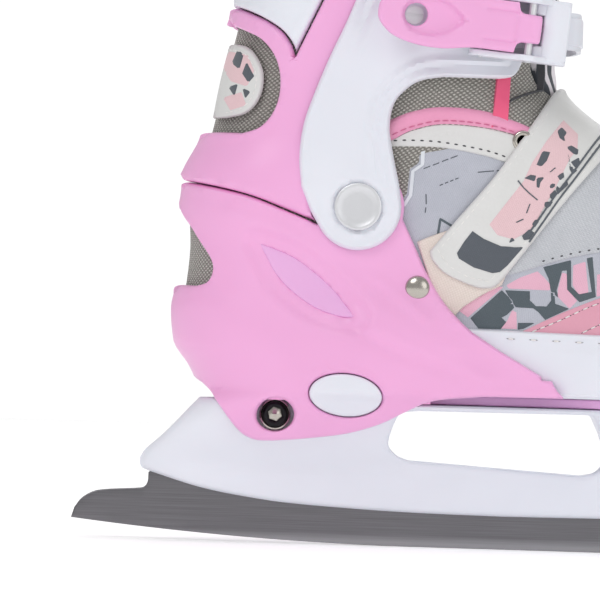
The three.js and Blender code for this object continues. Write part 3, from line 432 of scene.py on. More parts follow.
def moulded(name, colour, shade, roughness=0.36, ior=1.49):
    """Moulded polyolefin: an even satin with a very fine grain from the etched mould and a faint drift of colour."""
    material, tree, shader = new_material(name, colour, roughness, 0.0, ior)
    drift = noise(tree, (28,) * 3, 2)
    tree.links.new(blend_colours(tree, drift.outputs["Fac"], shade, colour), shader.inputs["Base Color"])
    grain = noise(tree, (2200,) * 3, 2)
    rough = add(tree, "MapRange", {0: drift.outputs["Fac"], 3: roughness - 0.05, 4: roughness + 0.07}).outputs[0]
    tree.links.new(rough, shader.inputs["Roughness"])
    bumped(tree, shader, grain.outputs["Fac"], 0.09, 0.0002)
    shader.inputs["Subsurface Weight"].default_value = 0.06
    shader.inputs["Subsurface Radius"].default_value = (0.004, 0.002, 0.002)
    return material


white_plastic = moulded("nylon_moulded_white_satin", "#e9ebf3", "#dfe1ea")
holder_loop = outline([
    [(-113.1, 25.7)],
    [(-94, 20.3), (-75, 17), (-56, 15), (-18, 13.2), (20, 12.6)],
    [(60, 13)],
    [(95, 14.6), (TOE_X - 24, 17), (TOE_X - 15, 25), (TOE_X - 13, 37), (TOE_X - 13.4, 48)],
    [(TOE_X - 15, DECK_Z)],
    [(-95.2, DECK_Z)],
    [(-98.8, 50.6), (-104.2, 44.6), (-109.7, 39), (-115, 34.2), (-117.1, 30.9)],
    [(-117, 28.4), (-116, 26.8)],
])
window_loop = outline([
    [(-12, 52)],
    [(-18.6, 51), (-21, 47.5), (-23, 41), (-22.6, 37.6), (-19.5, 34.4), (-15.2, 32.7)],
    [(50, 29)],
    [(55.5, 30.2), (58.6, 33.6), (58.9, 38.4), (57, 45)],
    [(54.4, 50.8)],
    [(53, 52.1), (50, 52.4)],
])


BOLT_X, BOLT_Z = -66.3, 49.2
BOLT_SEAT = 18.6
RAIL_SCREW_X, BOSS_RISE = 69.5, 0.4


def holder_half(x, z, d):
    """Half the holder's thickness: the form with a long shallow crease, a flat seat round the bolt and a low boss
    over the front screw, rounded at the edge."""
    edge = 2.4
    crease = 0.9 * ease(z, 22, 34) * ease(x, -96, -60) * (1 - ease(x, 30, 56))
    half = half_width(x, z) - crease * ridge(z - 29 - 0.02 * x, 5)
    from_bolt = np.hypot(x - BOLT_X, z - BOLT_Z)
    sunk = BOLT_SEAT + (half - BOLT_SEAT) * ease(from_bolt, 8.4, 10)
    half = np.where(from_bolt < 10, np.minimum(half, sunk), half)
    half = half + BOSS_RISE * np.exp(-((x - RAIL_SCREW_X) ** 2 + (z - 39) ** 2) / 50)
    return np.maximum(half - edge * (1 - round_over(d, edge)), 1.4)


holder = slab(
    "holder_moulding", [holder_loop, window_loop], holder_half, None, white_plastic, spacing=2.2, rounding=2.4)
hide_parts("blade_holder")
dressed(holder)

# ---------------------------------------------------------------- heel shell
# Pink polypropylene moulding, 3 mm thick, that wraps the heel and the ankle: an open window low at the back,
# a leaf-shaped panel in a lighter lilac on each side, and soft creases that run down to the front.
SHELL_IN, WALL = 0.5, 3.0
SHELL_OUT = SHELL_IN + WALL
PIVOT_X, PIVOT_Z = -37.6, 128.0
EAR = 17.6
RIVET_X, RIVET_Z = -14.3, 98.3
BUTTON_X, BUTTON_Z = -40.0, 57.2
OUTER_INNER = (("outer", -1), ("inner", 1))
LATERAL_MEDIAL = (("lateral", -1), ("medial", 1))


def circle(x, z, radius_x, radius_z=None, tilt=0.0, count=48):
    """A closed oval in side view."""
    turn = np.linspace(0, 2 * np.pi, count, endpoint=False)
    along, up = radius_x * np.cos(turn), (radius_z or radius_x) * np.sin(turn)
    return np.column_stack([
        x + along * np.cos(tilt) + up * np.sin(tilt),
        z - along * np.sin(tilt) + up * np.cos(tilt)])


def to_round(line, side, grow):
    """A line in side view as a line on the unrolled form: side is -1 on the foot's outer side, 1 on its inner."""
    return np.column_stack([side * round_of(line[:, 0], line[:, 1], grow), line[:, 1]])


def both_sides(line, grow):
    """An open line that starts and ends at the middle of the heel, closed by its mirror image."""
    outer, inner = to_round(line, -1, grow), to_round(line, 1, grow)[::-1]
    outer[[0, -1], 0] = 0
    return np.vstack([outer, inner[1:-1]])


def nearest_to(points, line):
    """Distance of each point to an open line."""
    a, b = line[:-1], line[1:]
    d = b - a
    offset = points[:, None] - a
    t = np.clip((offset * d).sum(2) / (d**2).sum(1), 0, 1)
    return np.sqrt(((offset - t[..., None] * d) ** 2).sum(2).min(1))


def skin(name, loops, low, high, surface, rounding=1.0, spacing=2.0, relief=None, flared=0.0,
         from_front=False):
    """A moulded or sewn layer on the form: the outer face rises from low at its edge to high along a quarter circle,
    plus a relief drawn in side view, and the inner face lies at low. The two faces share the edge."""
    points, triangles, distance = fill(loops, spacing, rounding)
    p, z = points.T
    q = np.sign(p) * (reach(z) - np.abs(p)) if from_front else p
    if from_front:
        q = np.where(p == 0, reach(z), q)
    lift = low + (high - low) * round_over(distance, rounding)
    if relief is not None:
        seen = on_form(q, z, high, flared)
        lift = lift + relief(seen[:, 0], z, q, distance)
    outer = on_form(q, z, lift, flared)
    inner = on_form(q, z, np.full(len(q), float(low)), flared)
    inside = distance > 0
    mirror = np.arange(len(points))
    mirror[inside] = len(points) + np.arange(inside.sum())
    faces = triangles.tolist() + mirror[triangles[:, ::-1]].tolist()
    chart = np.vstack([points, points[inside]])
    return solid(name, np.vstack([outer, inner[inside]]), faces, surface, chart=chart)


slit_line = [(-88, 132.9), (-74.6, 129.5), (-57, 122.9)]
ear_start, ear_end = np.radians(205), np.radians(-14)
ear_arc = [
    (PIVOT_X + (EAR - 1.6 * rear) * np.cos(a), PIVOT_Z + (EAR - 1.6 * rear) * np.sin(a))
    for a, rear in zip(np.linspace(ear_start, ear_end, 12), np.linspace(1, 0, 12))]
shell_line = outline([
    [(-106, 136)],
    slit_line,
    ear_arc,
    [(-15.5, 113.5), (-11.2, 104.5), (-5, 94.3), (1.5, 87), (6.8, 82.3)],
    [(18.4, 75)],
    [(33.1, 66.6)],
    [(33.3, 65.2)],
    [(37.2, 64.9)],
    [(38, 63.2), (39.5, 61), (41.6, 59)],
    [(41.4, 58.4)],
    [(11.7, 58.2)],
    [(-6.8, 56), (-17, 51.6), (-24.4, 47.6), (-32, 44.6), (-41.4, 42.1), (-56.5, 40), (-67, 39)],
    [(-73.6, 39.2), (-79.4, 42), (-84.8, 47.5), (-90, 54), (-94, 59.4)],
    [(-97, 61.2)],
], closed=False)
shell_loop = both_sides(shell_line, SHELL_OUT)
rear_window = outline([
    [(-107, 126.6)],
    [(-104.6, 124.6), (-102.8, 121.6), (-100.2, 118), (-96.8, 112.8), (-92.6, 106.4), (-91.9, 102),
    (-93.9, 98.3), (-99, 96.6)],
    [(-108, 96.8)],
], closed=False)
shell_holes = [both_sides(rear_window, SHELL_OUT)]
for side in (-1, 1):
    shell_holes.append(to_round(circle(BOLT_X, BOLT_Z, 7.2, 6.25), side, SHELL_OUT))
shell_holes.append(to_round(circle(BUTTON_X, BUTTON_Z, 13.9, 8.2, 0.07, 64), -1, SHELL_OUT))
leaf = outline([
    [(-74.8, 113.5)],
    [(-62.5, 109.2), (-54, 103.8), (-46, 97), (-40.5, 90.6)],
    [(-37.1, 86.4)],
    [(-42.8, 86.6), (-49, 88.2), (-54.3, 90.6), (-60, 94.4), (-64.8, 98.6), (-69, 103.6)],
])
crease_lines = [
    outline([[(-36, 86)], [(-22, 78), (-4, 70), (14, 64.5)]], closed=False),
    outline([[(-84, 124)], [(-60, 116.5), (-42, 104), (-31, 92), (-20, 84), (0, 76)]], closed=False),
    outline([[(-96, 92)], [(-84, 84), (-72, 76), (-62, 66), (-56, 58)]], closed=False),
    outline([[(-44, 86.6)], [(-32, 79), (-16, 72.6), (4, 66)]], closed=False),
    outline([[(-55, 119)], [(-44, 112), (-33, 104), (-22, 96), (-10, 86)]], closed=False),
]


def shell_relief(x, z, q, d):
    """The leaf's stepped recess, the soft creases, and a raised lip above the deck, all kept clear of the wing."""
    seen = np.column_stack([x, z])
    inside_leaf = signed_distance(seen, [leaf])
    sunk = -1.7 * ease(inside_leaf, -6.6, -3.6) - 1.2 * ease(inside_leaf, -0.5, 0.3)
    sunk -= 0.9 * ridge(nearest_to(seen, crease_lines[3]), 2.6) * ease(x, -46, -36)
    upper = 0.9 * ridge(nearest_to(seen, crease_lines[0]), 3.2)
    shoulder = 0.8 * ridge(nearest_to(seen, crease_lines[1]), 4.5)
    heel = 0.7 * ridge(nearest_to(seen, crease_lines[2]), 6.5)
    fold = 0.9 * ridge(nearest_to(seen, crease_lines[4]), 1.9)
    lip = 0.5 * ridge(d - 1.6, 0.9) * (z > 60)
    clear_of_wing = ease(np.hypot(x - PIVOT_X, z - PIVOT_Z), 22, 30)
    return (sunk + (upper + shoulder + heel + fold) * clear_of_wing) * ease(d, 0.6, 4.0) + lip * clear_of_wing


pink_plastic = moulded("polypropylene_moulded_pink_satin", "#f3b1df", "#edaad8")
# Lilac for the leaf panels; on the sole rail the same paler colour is painted light.
lilac_leaf_and_rail_painted_light = moulded("polypropylene_lilac_satin_rail_painted_light", "#eab4e2", "#e5acdd")
shell = skin(
    "heel_shell_moulding", [shell_loop, *shell_holes], SHELL_IN, SHELL_OUT, pink_plastic,
    rounding=1.0, spacing=1.9, relief=shell_relief, flared=1.0)
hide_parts("heel_shell")
dressed(shell)
for word, side in OUTER_INNER:
    panel = skin(
        f"shell_leaf_panel_{word}", [to_round(leaf, side, SHELL_OUT)], SHELL_OUT - 3.0, SHELL_OUT - 1.75,
        lilac_leaf_and_rail_painted_light, rounding=0.5, spacing=1.8, flared=1.0)
    dressed(panel)
floor_top, floor_low = 58.2, 54.7
floor_loop = outline([[(-84, floor_low)], [(-8, floor_low)], [(-8, floor_top)], [(-84, floor_top)]], step=3)
floor = slab(
    "heel_shell_floor", [floor_loop],
    lambda u, v, d: half_width(np.maximum(u, -90), v, 0.8), None, pink_plastic, spacing=2.5, rounding=0.4)
dressed(floor)
RAIL_FRONT = TOE_X - 54
rail_loop = outline([
    [(-10, floor_low)], [(RAIL_FRONT - 2, floor_low)], [(RAIL_FRONT, 56)], [(RAIL_FRONT, floor_top)],
    [(-10, floor_top)]], step=3)
# The rail sits in shade under the shell; its paler lilac colour is painted light on it.
rail = slab(
    "sole_rail", [rail_loop],
    lambda u, v, d: 21.2 + 0.8 * round_over(d, 0.8), None, lilac_leaf_and_rail_painted_light, spacing=2.5, rounding=0.8)
dressed(rail)

# ---------------------------------------------------------------- toe shell
# White polypropylene cup, 2.2 mm thick, round the front of the boot, with a thicker bumper at the toes.
# Its tails lie inside the flared sides of the heel shell, and it slides out of them to lengthen the boot.
TOE_OUT = SHELL_IN + 2.2
SLIDE_TOP = 61.2


def front_both(line, grow):
    """An open line that starts and ends at the middle of the front, closed by its mirror image."""
    far = reach(line[:, 1]) - round_of(line[:, 0], line[:, 1], grow)
    outer = np.column_stack([-far, line[:, 1]])
    outer[[0, -1], 0] = 0
    inner = outer[::-1][1:-1] * [-1, 1]
    return np.vstack([outer, inner])


toe_line = outline([
    [(TOE_X + 3, 89)],
    [(TOE_X - 8, 88), (TOE_X - 24, 84.6), (TOE_X - 50, 82.6), (60, 82.6)],
    [(18.2, 83.4)],
    [(-12, 83.8)],
    [(-12, 62)],
    [(-12, 59.6)],
    [(60, 59)],
    [(TOE_X + 2, 59)],
], closed=False)


def toe_relief(x, z, q, d):
    """A shallow channel along the upper edge, a bumper round the toes, and a drawn-in foot."""
    groove = -0.45 * ridge(d - 4.4, 0.8) * (z > 75)
    bumper = 1.6 * ease(x, 92, 128) * ridge(z - 70, 9) * ease(d, 0, 3)
    under = -1.4 * (1 - ease(z, 59, 66)) * ease(d, 0, 1.5)
    return groove + bumper + under


toe_cup = skin(
    "toe_shell_moulding", [front_both(toe_line, TOE_OUT)], SHELL_IN, TOE_OUT, white_plastic,
    rounding=1.1, spacing=2.0, relief=toe_relief, from_front=True)
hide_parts("toe_shell")
dressed(toe_cup, "toe")
sole_loop = outline([
    [(-12, SLIDE_Z)], [(TOE_X - 1, SLIDE_Z)], [(TOE_X + 0.5, SLIDE_TOP)], [(-12, SLIDE_TOP)]], step=3)
toe_sole = slab(
    "toe_shell_sole", [sole_loop],
    lambda u, v, d: half_width(u, v, 0.9), None, white_plastic, spacing=2.5, rounding=0.5)
dressed(toe_sole, "toe")

# ---------------------------------------------------------------- cuff
# A pink frame hinged at the ankle, with an oval window at the back; a white panel above it; and a white side wing
# on each side, whose round lobe turns on the pivot rivet. All are 3 mm polypropylene, riveted together inside.
CUFF_TOP = 232.0
WING_IN = SHELL_OUT + 0.4
WING_OUT = WING_IN + 2.8
stripe_top = (-41.5, CUFF_TOP - 3)
clear = np.linspace(np.radians(200), np.radians(118), 9)
cuff_line = outline([
    [(-88, 202.3)],
    [(-82, 199.8), (-75, 196.6), (-68.9, 192.6), (-64.9, 187.6)],
    [(-63.3, 183.2)],
    [stripe_top],
    [(stripe_top[0] + 20, stripe_top[1])],
    [(-36, 195.5), (-45, 176), (-50.4, 159), (-51.4, 148)],
    [(PIVOT_X + r * np.cos(a), PIVOT_Z + r * np.sin(a)) for a, r in zip(clear[::-1], np.linspace(18.4, 16.8, 9))],
    [(-57, 123.6), (-74.6, 129.95), (-88, 133.3), (-106, 136.5)],
], closed=False)
cuff_window = outline([
    [(-88, 195.1)],
    [(-82.2, 192.6), (-76.4, 189.6), (-71.6, 184.2), (-69, 177), (-69, 168.6), (-71.6, 161.6), (-76.2, 156.8),
    (-82.9, 154.5)],
    [(-96, 154.8)],
], closed=False)


def cuff_relief(x, z, q, d):
    """A raised rim along the edge, and a swell low down where the cuff laps the heel shell."""
    rim = 0.7 * ridge(d - 1.7, 0.9)
    swell = 1.4 * (1 - ease(z, 138, 158)) * ease(d, 0, 3)
    return rim + swell


cuff_frame = skin(
    "cuff_frame_moulding", [both_sides(cuff_line, SHELL_OUT), both_sides(cuff_window, SHELL_OUT)],
    SHELL_IN, SHELL_OUT, pink_plastic, rounding=1.0, spacing=1.9, relief=cuff_relief)
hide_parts("cuff_frame")
dressed(cuff_frame, "cuff")
panel_line = outline([
    [(-80, CUFF_TOP)],
    [(stripe_top[0] - 2, CUFF_TOP)],
    [(stripe_top[0] - 0.6, stripe_top[1])],
    [(-63, 185.4)],
    [(-64.6, 188.8), (-68.6, 193.3), (-74.7, 197.2), (-82, 200.6), (-90, 203.4)],
], closed=False)
back_panel = skin(
    "cuff_back_moulding", [both_sides(panel_line, SHELL_OUT)], SHELL_IN, SHELL_OUT, white_plastic,
    rounding=1.2, spacing=2.2, relief=lambda x, z, q, d: 0.8 * ridge(d - 2.4, 1.3))
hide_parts("cuff_back_panel")
dressed(back_panel, "cuff")
LOBE = 16.3
lobe_turn = np.linspace(np.radians(196), np.radians(362), 14)
lobe_arc = [(PIVOT_X + LOBE * np.cos(a), PIVOT_Z + LOBE * np.sin(a)) for a in lobe_turn]
wing_side = outline([
    [(-55.4, 126)],
    lobe_arc[1:],
    [(-22.5, 137), (-25.0, 148), (-26.6, 158), (-25.4, 166.5), (-21.4, 172), (-15.5, 175.9), (-7, 177.5)],
    [(15.2, 177.6)],
    [(19.7, 178.6), (22.4, 182.4), (24.6, 190)],
    [(26, 200)],
    [(24.5, CUFF_TOP - 8)],
    [(22.5, CUFF_TOP - 3), (17, CUFF_TOP)],
    [(-24, CUFF_TOP)],
    [(-29, CUFF_TOP - 2), (-31.5, CUFF_TOP - 7)],
    [(-40.1, 207)],
    [(-44.3, 196.4), (-50, 183.6), (-55.4, 169.6), (-59, 158), (-60.2, 146), (-59.2, 135)],
])


def wing_relief(x, z, q, d):
    """A rim all round, a doubled bead along the front, and a flat round recess for the pivot's cap."""
    front = ease(x, -42, -38)
    rim = 0.5 * ridge(d - 1.8, 1.0) + 0.6 * ridge(d - 6.6, 1.2) * front
    dip = -0.8 * ridge(d - 4.3, 1.2) * front - 0.5 * ridge(d - 9, 1.2) * front
    from_pivot = np.hypot(x - PIVOT_X, z - PIVOT_Z)
    recess = -1.3 * (1 - ease(from_pivot, 9.3, 9.9))
    return (rim + dip) * ease(from_pivot, 10.5, 15) * (1 - ease(z, 222, 230)) + recess


for word, side in LATERAL_MEDIAL:
    wing = skin(
        f"cuff_wing_{word}_moulding", [to_round(wing_side, side, WING_OUT)], WING_IN, WING_OUT, white_plastic,
        rounding=1.3, spacing=1.7, relief=wing_relief)
    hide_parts(f"cuff_wing_{word}")
    dressed(wing, "cuff")

# ---------------------------------------------------------------- metal fixings
# Nickel-plated steel and black-oxide steel, headed and turned: domed shell rivets, brushed pivot caps, the heel's
# cross bolt with its washer and nut, and the collar's eyelets.


def turned(name, profile, x, z, surface, side=-1, count=56):
    """A solid of revolution about a line across the boot: each profile point is a radius and a distance from the
    mid-plane, carried round the circle, and the two ends are closed flat."""
    profile = np.asarray(profile, float)
    turn = np.linspace(0, 2 * np.pi, count, endpoint=False)[:, None]
    ring = np.stack([
        x + profile[:, 0] * np.cos(turn),
        np.broadcast_to(side * profile[:, 1], (count, len(profile))),
        z + profile[:, 0] * np.sin(turn)], -1)
    index = np.arange(count * len(profile)).reshape(count, -1)
    after = np.roll(index, -1, axis=0)
    walls = np.stack([index[:, :-1], index[:, 1:], after[:, 1:], after[:, :-1]], -1).reshape(-1, 4)
    faces = walls.tolist() + [index[::-1, 0].tolist(), index[:, -1].tolist()]
    return solid(name, ring.reshape(-1, 3), faces, surface, creases=35)


def plated(name, colour, roughness, streak=0.0):
    """Plated steel: a clear metal reflection broken by faint handling marks."""
    material, tree, shader = new_material(name, colour, roughness, 1.0)
    marks = noise(tree, (900,) * 3, 3)
    rough = add(tree, "MapRange", {0: marks.outputs["Fac"], 3: roughness - 0.06, 4: roughness + 0.1}).outputs[0]
    tree.links.new(rough, shader.inputs["Roughness"])
    bumped(tree, shader, marks.outputs["Fac"], 0.05 + streak, 0.0001)
    return material


def dome(radius, seat, rise, edge=0.5, inner=0.05):
    """Profile of a low dome: a straight side, a rounded shoulder, then a circular cap to the middle."""
    turn = np.linspace(0, np.pi / 2, 14)
    cap = np.column_stack([radius * np.cos(turn), seat + edge + (rise - edge) * np.sin(turn)])
    cap[-1, 0] = inner
    return np.vstack([[(inner, seat - 1.5), (radius - 0.2, seat - 1.5), (radius, seat)], cap])


nickel = plated("steel_nickel_plated_bright", "#b9b4ac", 0.2)
brushed = plated("steel_nickel_plated_blasted", "#dcdde0", 0.46, streak=0.3)
black_oxide = plated("steel_black_oxide", "#2b2a2c", 0.34)
rivet_seat = half_width(np.array([RIVET_X]), np.array([RIVET_Z]))[0] + SHELL_OUT - 0.7
pivot_seat = half_width(np.array([PIVOT_X]), np.array([PIVOT_Z]))[0] + WING_OUT - 0.9
CAP = 9.0
cap_profile = [
    (0.05, pivot_seat - 1), (CAP - 0.1, pivot_seat - 1), (CAP, pivot_seat + 0.8), (CAP - 0.25, pivot_seat + 1.3),
    (CAP - 0.7, pivot_seat + 1.5), (CAP - 1.5, pivot_seat + 1.45), (CAP - 1.8, pivot_seat + 1.25),
    (5, pivot_seat + 1.2), (0.05, pivot_seat + 1.15)]
for word, side in LATERAL_MEDIAL:
    rivet = turned(f"shell_rivet_{word}_dome", dome(4.7, rivet_seat, 2.7), RIVET_X, RIVET_Z, nickel, side)
    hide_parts(f"shell_rivet_{word}")
    dressed(rivet)
    pivot_cap = turned(f"pivot_cap_{word}", cap_profile, PIVOT_X, PIVOT_Z, brushed, side)
    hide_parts(f"pivot_rivet_{word}")
    dressed(pivot_cap)
bolt_face = BOLT_SEAT + 0.3
hexagon = circle(BOLT_X, BOLT_Z, 2.7, count=6, tilt=0.3)
bolt_head = slab(
    "heel_bolt_head", [circle(BOLT_X, BOLT_Z, 4.9), outline([[tuple(p)] for p in hexagon], step=0.6)],
    lambda u, v, d: -bolt_face - 3.4 - 1.3 * round_over(d, 1.5), -bolt_face, black_oxide, spacing=0.7,
    rounding=0.45)
bolt_floor = turned(
    "heel_bolt_socket",
    [(0.05, bolt_face), (3.2, bolt_face), (3.2, bolt_face + 3.2), (1.0, bolt_face + 3.3), (0.05, bolt_face + 4.0)],
    BOLT_X, BOLT_Z, nickel)
washer = turned(
    "heel_bolt_washer_ring",
    [(4.4, bolt_face), (5.8, bolt_face), (6.0, bolt_face + 3.0), (5.8, bolt_face + 3.6), (5.3, bolt_face + 3.9),
     (4.9, bolt_face + 3.6), (4.7, bolt_face + 3.0)],
    BOLT_X, BOLT_Z, nickel)
nut = turned("heel_bolt_nut_head", dome(4.4, bolt_face, 2.6), BOLT_X, BOLT_Z, black_oxide, 1)
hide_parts("heel_bolt")
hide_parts("heel_bolt_washer")
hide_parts("heel_bolt_nut")
for piece in (bolt_head, bolt_floor, washer, nut):
    dressed(piece)

# ---------------------------------------------------------------- size button
# White oval push button, crowned, in a close hole in the outer side of the shell.
# Pressed 3 mm in, it frees the size rack so that the toe shell can slide.
button_loop = circle(BUTTON_X, BUTTON_Z, 13.65, 7.95, 0.07, 72)


def button_face(x, z, d):
    """The shell's own side, crowned a little towards the middle of the oval."""
    side = half_width(x, z) + SHELL_OUT + flare(x, z)
    return -(side - 1.0 + 0.9 * round_over(d, 1.6) + 0.8 * ease(d, 0, 7))


button = slab(
    "size_button_cap", [button_loop], button_face, lambda u, v, d: button_face(u, v, 0 * d) + 2.6,
    white_plastic, spacing=1.2, rounding=1.6)
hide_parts("size_button")
dressed(button, "button")

# ---------------------------------------------------------------- heel liner
# Coarse knitted spacer mesh over foam, which lies against the inside of the heel shell.
# It shows through the low window at the back.


def knit(name, dark, light, pitch_x=2.15, pitch_z=1.6):
    """Warp-knitted spacer mesh: rows of pale loops, each row set half a pitch over, on a darker ground between them.
    The pattern is a square lattice of dots turned 45 degrees, stretched to the loops' real pitch."""
    material, tree, shader = new_material(name, dark, 0.85)
    chart = add(tree, "UVMap").outputs["UV"]
    scale = (100 * np.sqrt(2) / pitch_x, 100 * np.sqrt(2) / pitch_z, 1)
    lattice = add(tree, "Mapping", {"Vector": chart, "Scale": scale}).outputs["Vector"]
    lattice = add(tree, "Mapping", {"Vector": lattice, "Rotation": (0, 0, np.pi / 4)}).outputs["Vector"]
    stray = noise(tree, (420,) * 3, 3)
    shifted = add(tree, "VectorMath", {0: stray.outputs["Color"], 1: (0.3, 0.3, 0)},
        operation="MULTIPLY").outputs[0]
    lattice = add(tree, "VectorMath", {0: lattice, 1: shifted}).outputs[0]
    dots = add(tree, "TexVoronoi", {"Vector": lattice, "Scale": 1.0, "Randomness": 0.0}, voronoi_dimensions="2D")
    loop = add(tree, "MapRange", {0: dots.outputs["Distance"], 1: 0.12, 2: 0.46, 3: 1.0, 4: 0.0}).outputs[0]
    fibre = noise(tree, (1500,) * 3, 4)
    ground = blend_colours(tree, fibre.outputs["Fac"], dark, "#97948d")
    tree.links.new(blend_colours(tree, loop, ground, light), shader.inputs["Base Color"])
    height = add(tree, "Math", {0: loop, 1: fibre.outputs["Fac"]}, operation="ADD").outputs[0]
    bumped(tree, shader, height, 0.8, 0.0006)
    shader.inputs["Sheen Weight"].default_value = 0.25
    return material


knit_mesh = knit("polyester_spacer_mesh_knitted_grey", "#5e5b57", "#d2cfc8")
heel_line = outline([[(-110, 133)], [(-60, 133)], [(-38, 130)], [(-38, 64)], [(-110, 64)]], closed=False)
heel_liner = skin("heel_liner_mesh", [both_sides(heel_line, 0)], -4.0, -0.3, knit_mesh, rounding=1.5, spacing=2.6)
dressed(heel_liner)

# ---------------------------------------------------------------- boot upper
# Sewn upper of printed polyester on foam, light grey-blue at the quarters, that runs under the toe shell. Over it
# lie a white coated-leather vamp with an edge stitch, a camouflage-like shard print, and a pink toe overlay.


def woven(name, colour, shade, pitch=0.7, roughness=0.75, depth=0.35):
    """Plain-woven polyester: threads over and under at the real pitch, with a faint uneven tone and a soft sheen."""
    material, tree, shader = new_material(name, colour, roughness)
    chart = add(tree, "UVMap").outputs["UV"]
    scale = (100 / pitch, 100 / pitch, 1)
    cloth = add(tree, "Mapping", {"Vector": chart, "Scale": scale, "Rotation": (0, 0, 0.5)}).outputs["Vector"]
    threads = add(tree, "TexVoronoi", {"Vector": cloth, "Scale": 1.0, "Randomness": 0.15}, voronoi_dimensions="2D")
    over = add(tree, "MapRange", {0: threads.outputs["Distance"], 1: 0.1, 2: 0.65, 3: 1.0, 4: 0.0}).outputs[0]
    tone = noise(tree, (120,) * 3, 3)
    mixed = blend_colours(tree, tone.outputs["Fac"], shade, colour)
    tree.links.new(blend_colours(tree, over, shade, mixed), shader.inputs["Base Color"])
    bumped(tree, shader, over, depth, 0.0003)
    shader.inputs["Sheen Weight"].default_value = 0.15
    return material


def coated(name, colour, shade, roughness=0.48, dimple=700):
    """Polyurethane-coated leathercloth: a fine pebble grain, a slightly waxy gloss and a faint drift of tone."""
    material, tree, shader = new_material(name, colour, roughness)
    drift = noise(tree, (60,) * 3, 3)
    tree.links.new(blend_colours(tree, drift.outputs["Fac"], shade, colour), shader.inputs["Base Color"])
    pebble = add(tree, "TexVoronoi", {"Vector": object_space(tree, (dimple,) * 3), "Scale": 1.0})
    crease = noise(tree, (160,) * 3, 5)
    height = add(tree, "Math", {0: pebble.outputs["Distance"], 1: crease.outputs["Fac"]},
        operation="ADD").outputs[0]
    bumped(tree, shader, height, 0.28, 0.0003)
    return material


def on_side(line, side, grow=0.0):
    """A side-view line or loop on the form unrolled from the heel."""
    return to_round(np.asarray(line, float), side, grow)


def along(line, pitch):
    """Places at an even pitch along an open line, and the places a hair further on."""
    far = np.concatenate([[0], np.cumsum(np.linalg.norm(np.diff(line, axis=0), axis=1))])
    at = np.arange(pitch / 2, far[-1] - pitch / 3, pitch)
    return [np.column_stack([np.interp(at + ahead, far, line[:, k]) for k in (0, 1)]) for ahead in (0, 0.4)]


def stitches(name, lines, pitch, half, radius, lift, surface, rings=5, sides=6):
    """A row of short threads on the form: each is a long bead, a sine swept round the line of the seam."""
    spots, ahead = (np.vstack(found) for found in zip(*[along(line, pitch) for line in lines]))
    place = on_form(spots[:, 0], spots[:, 1], lift)
    tangent = on_form(ahead[:, 0], ahead[:, 1], lift) - place
    outward = on_form(spots[:, 0], spots[:, 1], lift + 1.0) - place
    tangent /= np.linalg.norm(tangent, axis=1)[:, None]
    outward -= (outward * tangent).sum(1)[:, None] * tangent
    outward /= np.linalg.norm(outward, axis=1)[:, None]
    across = np.cross(tangent, outward)
    t, turn = np.meshgrid(np.linspace(0.3, np.pi - 0.3, rings), np.arange(sides) * 2 * np.pi / sides, indexing="ij")
    bead = np.stack([-half * np.cos(t), radius * np.sin(t) * np.cos(turn), radius * np.sin(t) * np.sin(turn)], -1)
    bead = bead.reshape(-1, 3)
    points = place[:, None] + bead @ np.stack([tangent, outward, across], 1)
    index = np.arange(rings * sides).reshape(rings, sides)
    quads = np.stack([index[:-1], np.roll(index[:-1], -1, 1), np.roll(index[1:], -1, 1), index[1:]],
        -1).reshape(-1, 4)
    first = np.arange(len(place))[:, None, None] * rings * sides
    faces = (quads[None] + first).reshape(-1, 4).tolist()
    faces += (index[0, ::-1] + first[:, 0]).tolist() + (index[-1] + first[:, 0]).tolist()
    return solid(name, points.reshape(-1, 3), faces, surface, creases=80)


def strip(name, lines, width, low, high, surface):
    """A flat band along each line on the form: a rectangle of the given width and thickness carried along it."""
    points, faces = [], []
    count = 0
    for line in lines:
        tangent = np.gradient(line, axis=0)
        tangent /= np.maximum(np.linalg.norm(tangent, axis=1), 1e-9)[:, None]
        normal = np.column_stack([-tangent[:, 1], tangent[:, 0]]) * width / 2
        left, right = line - normal, line + normal
        rows = [on_form(left[:, 0], left[:, 1], low), on_form(right[:, 0], right[:, 1], low),
                on_form(right[:, 0], right[:, 1], high), on_form(left[:, 0], left[:, 1], high)]
        points.append(np.stack(rows, 1).reshape(-1, 3))
        index = count + np.arange(4 * len(line)).reshape(-1, 4)
        around = np.roll(index, -1, 1)
        quads = np.stack([index[:-1], around[:-1], around[1:], index[1:]], -1).reshape(-1, 4)
        flip = -1 if line[:, 0].mean() < 0 else 1
        faces += quads[:, ::flip].tolist() + [index[0, ::-flip].tolist(), index[-1, ::flip].tolist()]
        count += 4 * len(line)
    return solid(name, np.vstack(points), faces, surface, creases=30, chart=None)


grey_blue = woven("polyester_woven_print_grey_blue", "#ccced8", "#b2b5c0")
pu_white = coated("polyurethane_leathercloth_white", "#e0e0df", "#d3d3d1")
vamp_mesh = woven("polyester_air_mesh_silver_white", "#d6d8dc", "#b9bcc2", 1.1, 0.6, 0.5)
pu_pink = coated("polyurethane_leathercloth_pink", "#e3a6b8", "#da98ad")
piping_pink = coated("polyurethane_piping_pink", "#f0a6c6", "#e592b8", 0.5, 900)
cream_web = woven("polyester_webbing_cream", "#f0e6df", "#dccfc6", 0.9, 0.7)
ribbon_pink = woven("polyester_ribbon_hot_pink", "#f9688f", "#e8507c", 0.8, 0.6)
ink_grey = woven("ink_print_dark_grey", "#5a6068", "#50565e", 0.7, 0.6, 0.2)
ink_slate = woven("ink_print_slate", "#59646b", "#4d585f", 0.7, 0.65, 0.3)
ink_pink = woven("ink_print_pale_pink", "#ecccd0", "#e2c0c5", 0.7, 0.7, 0.3)
ink_rose = woven("ink_print_rose", "#ecbccf", "#e4b0c5", 0.7, 0.7, 0.3)
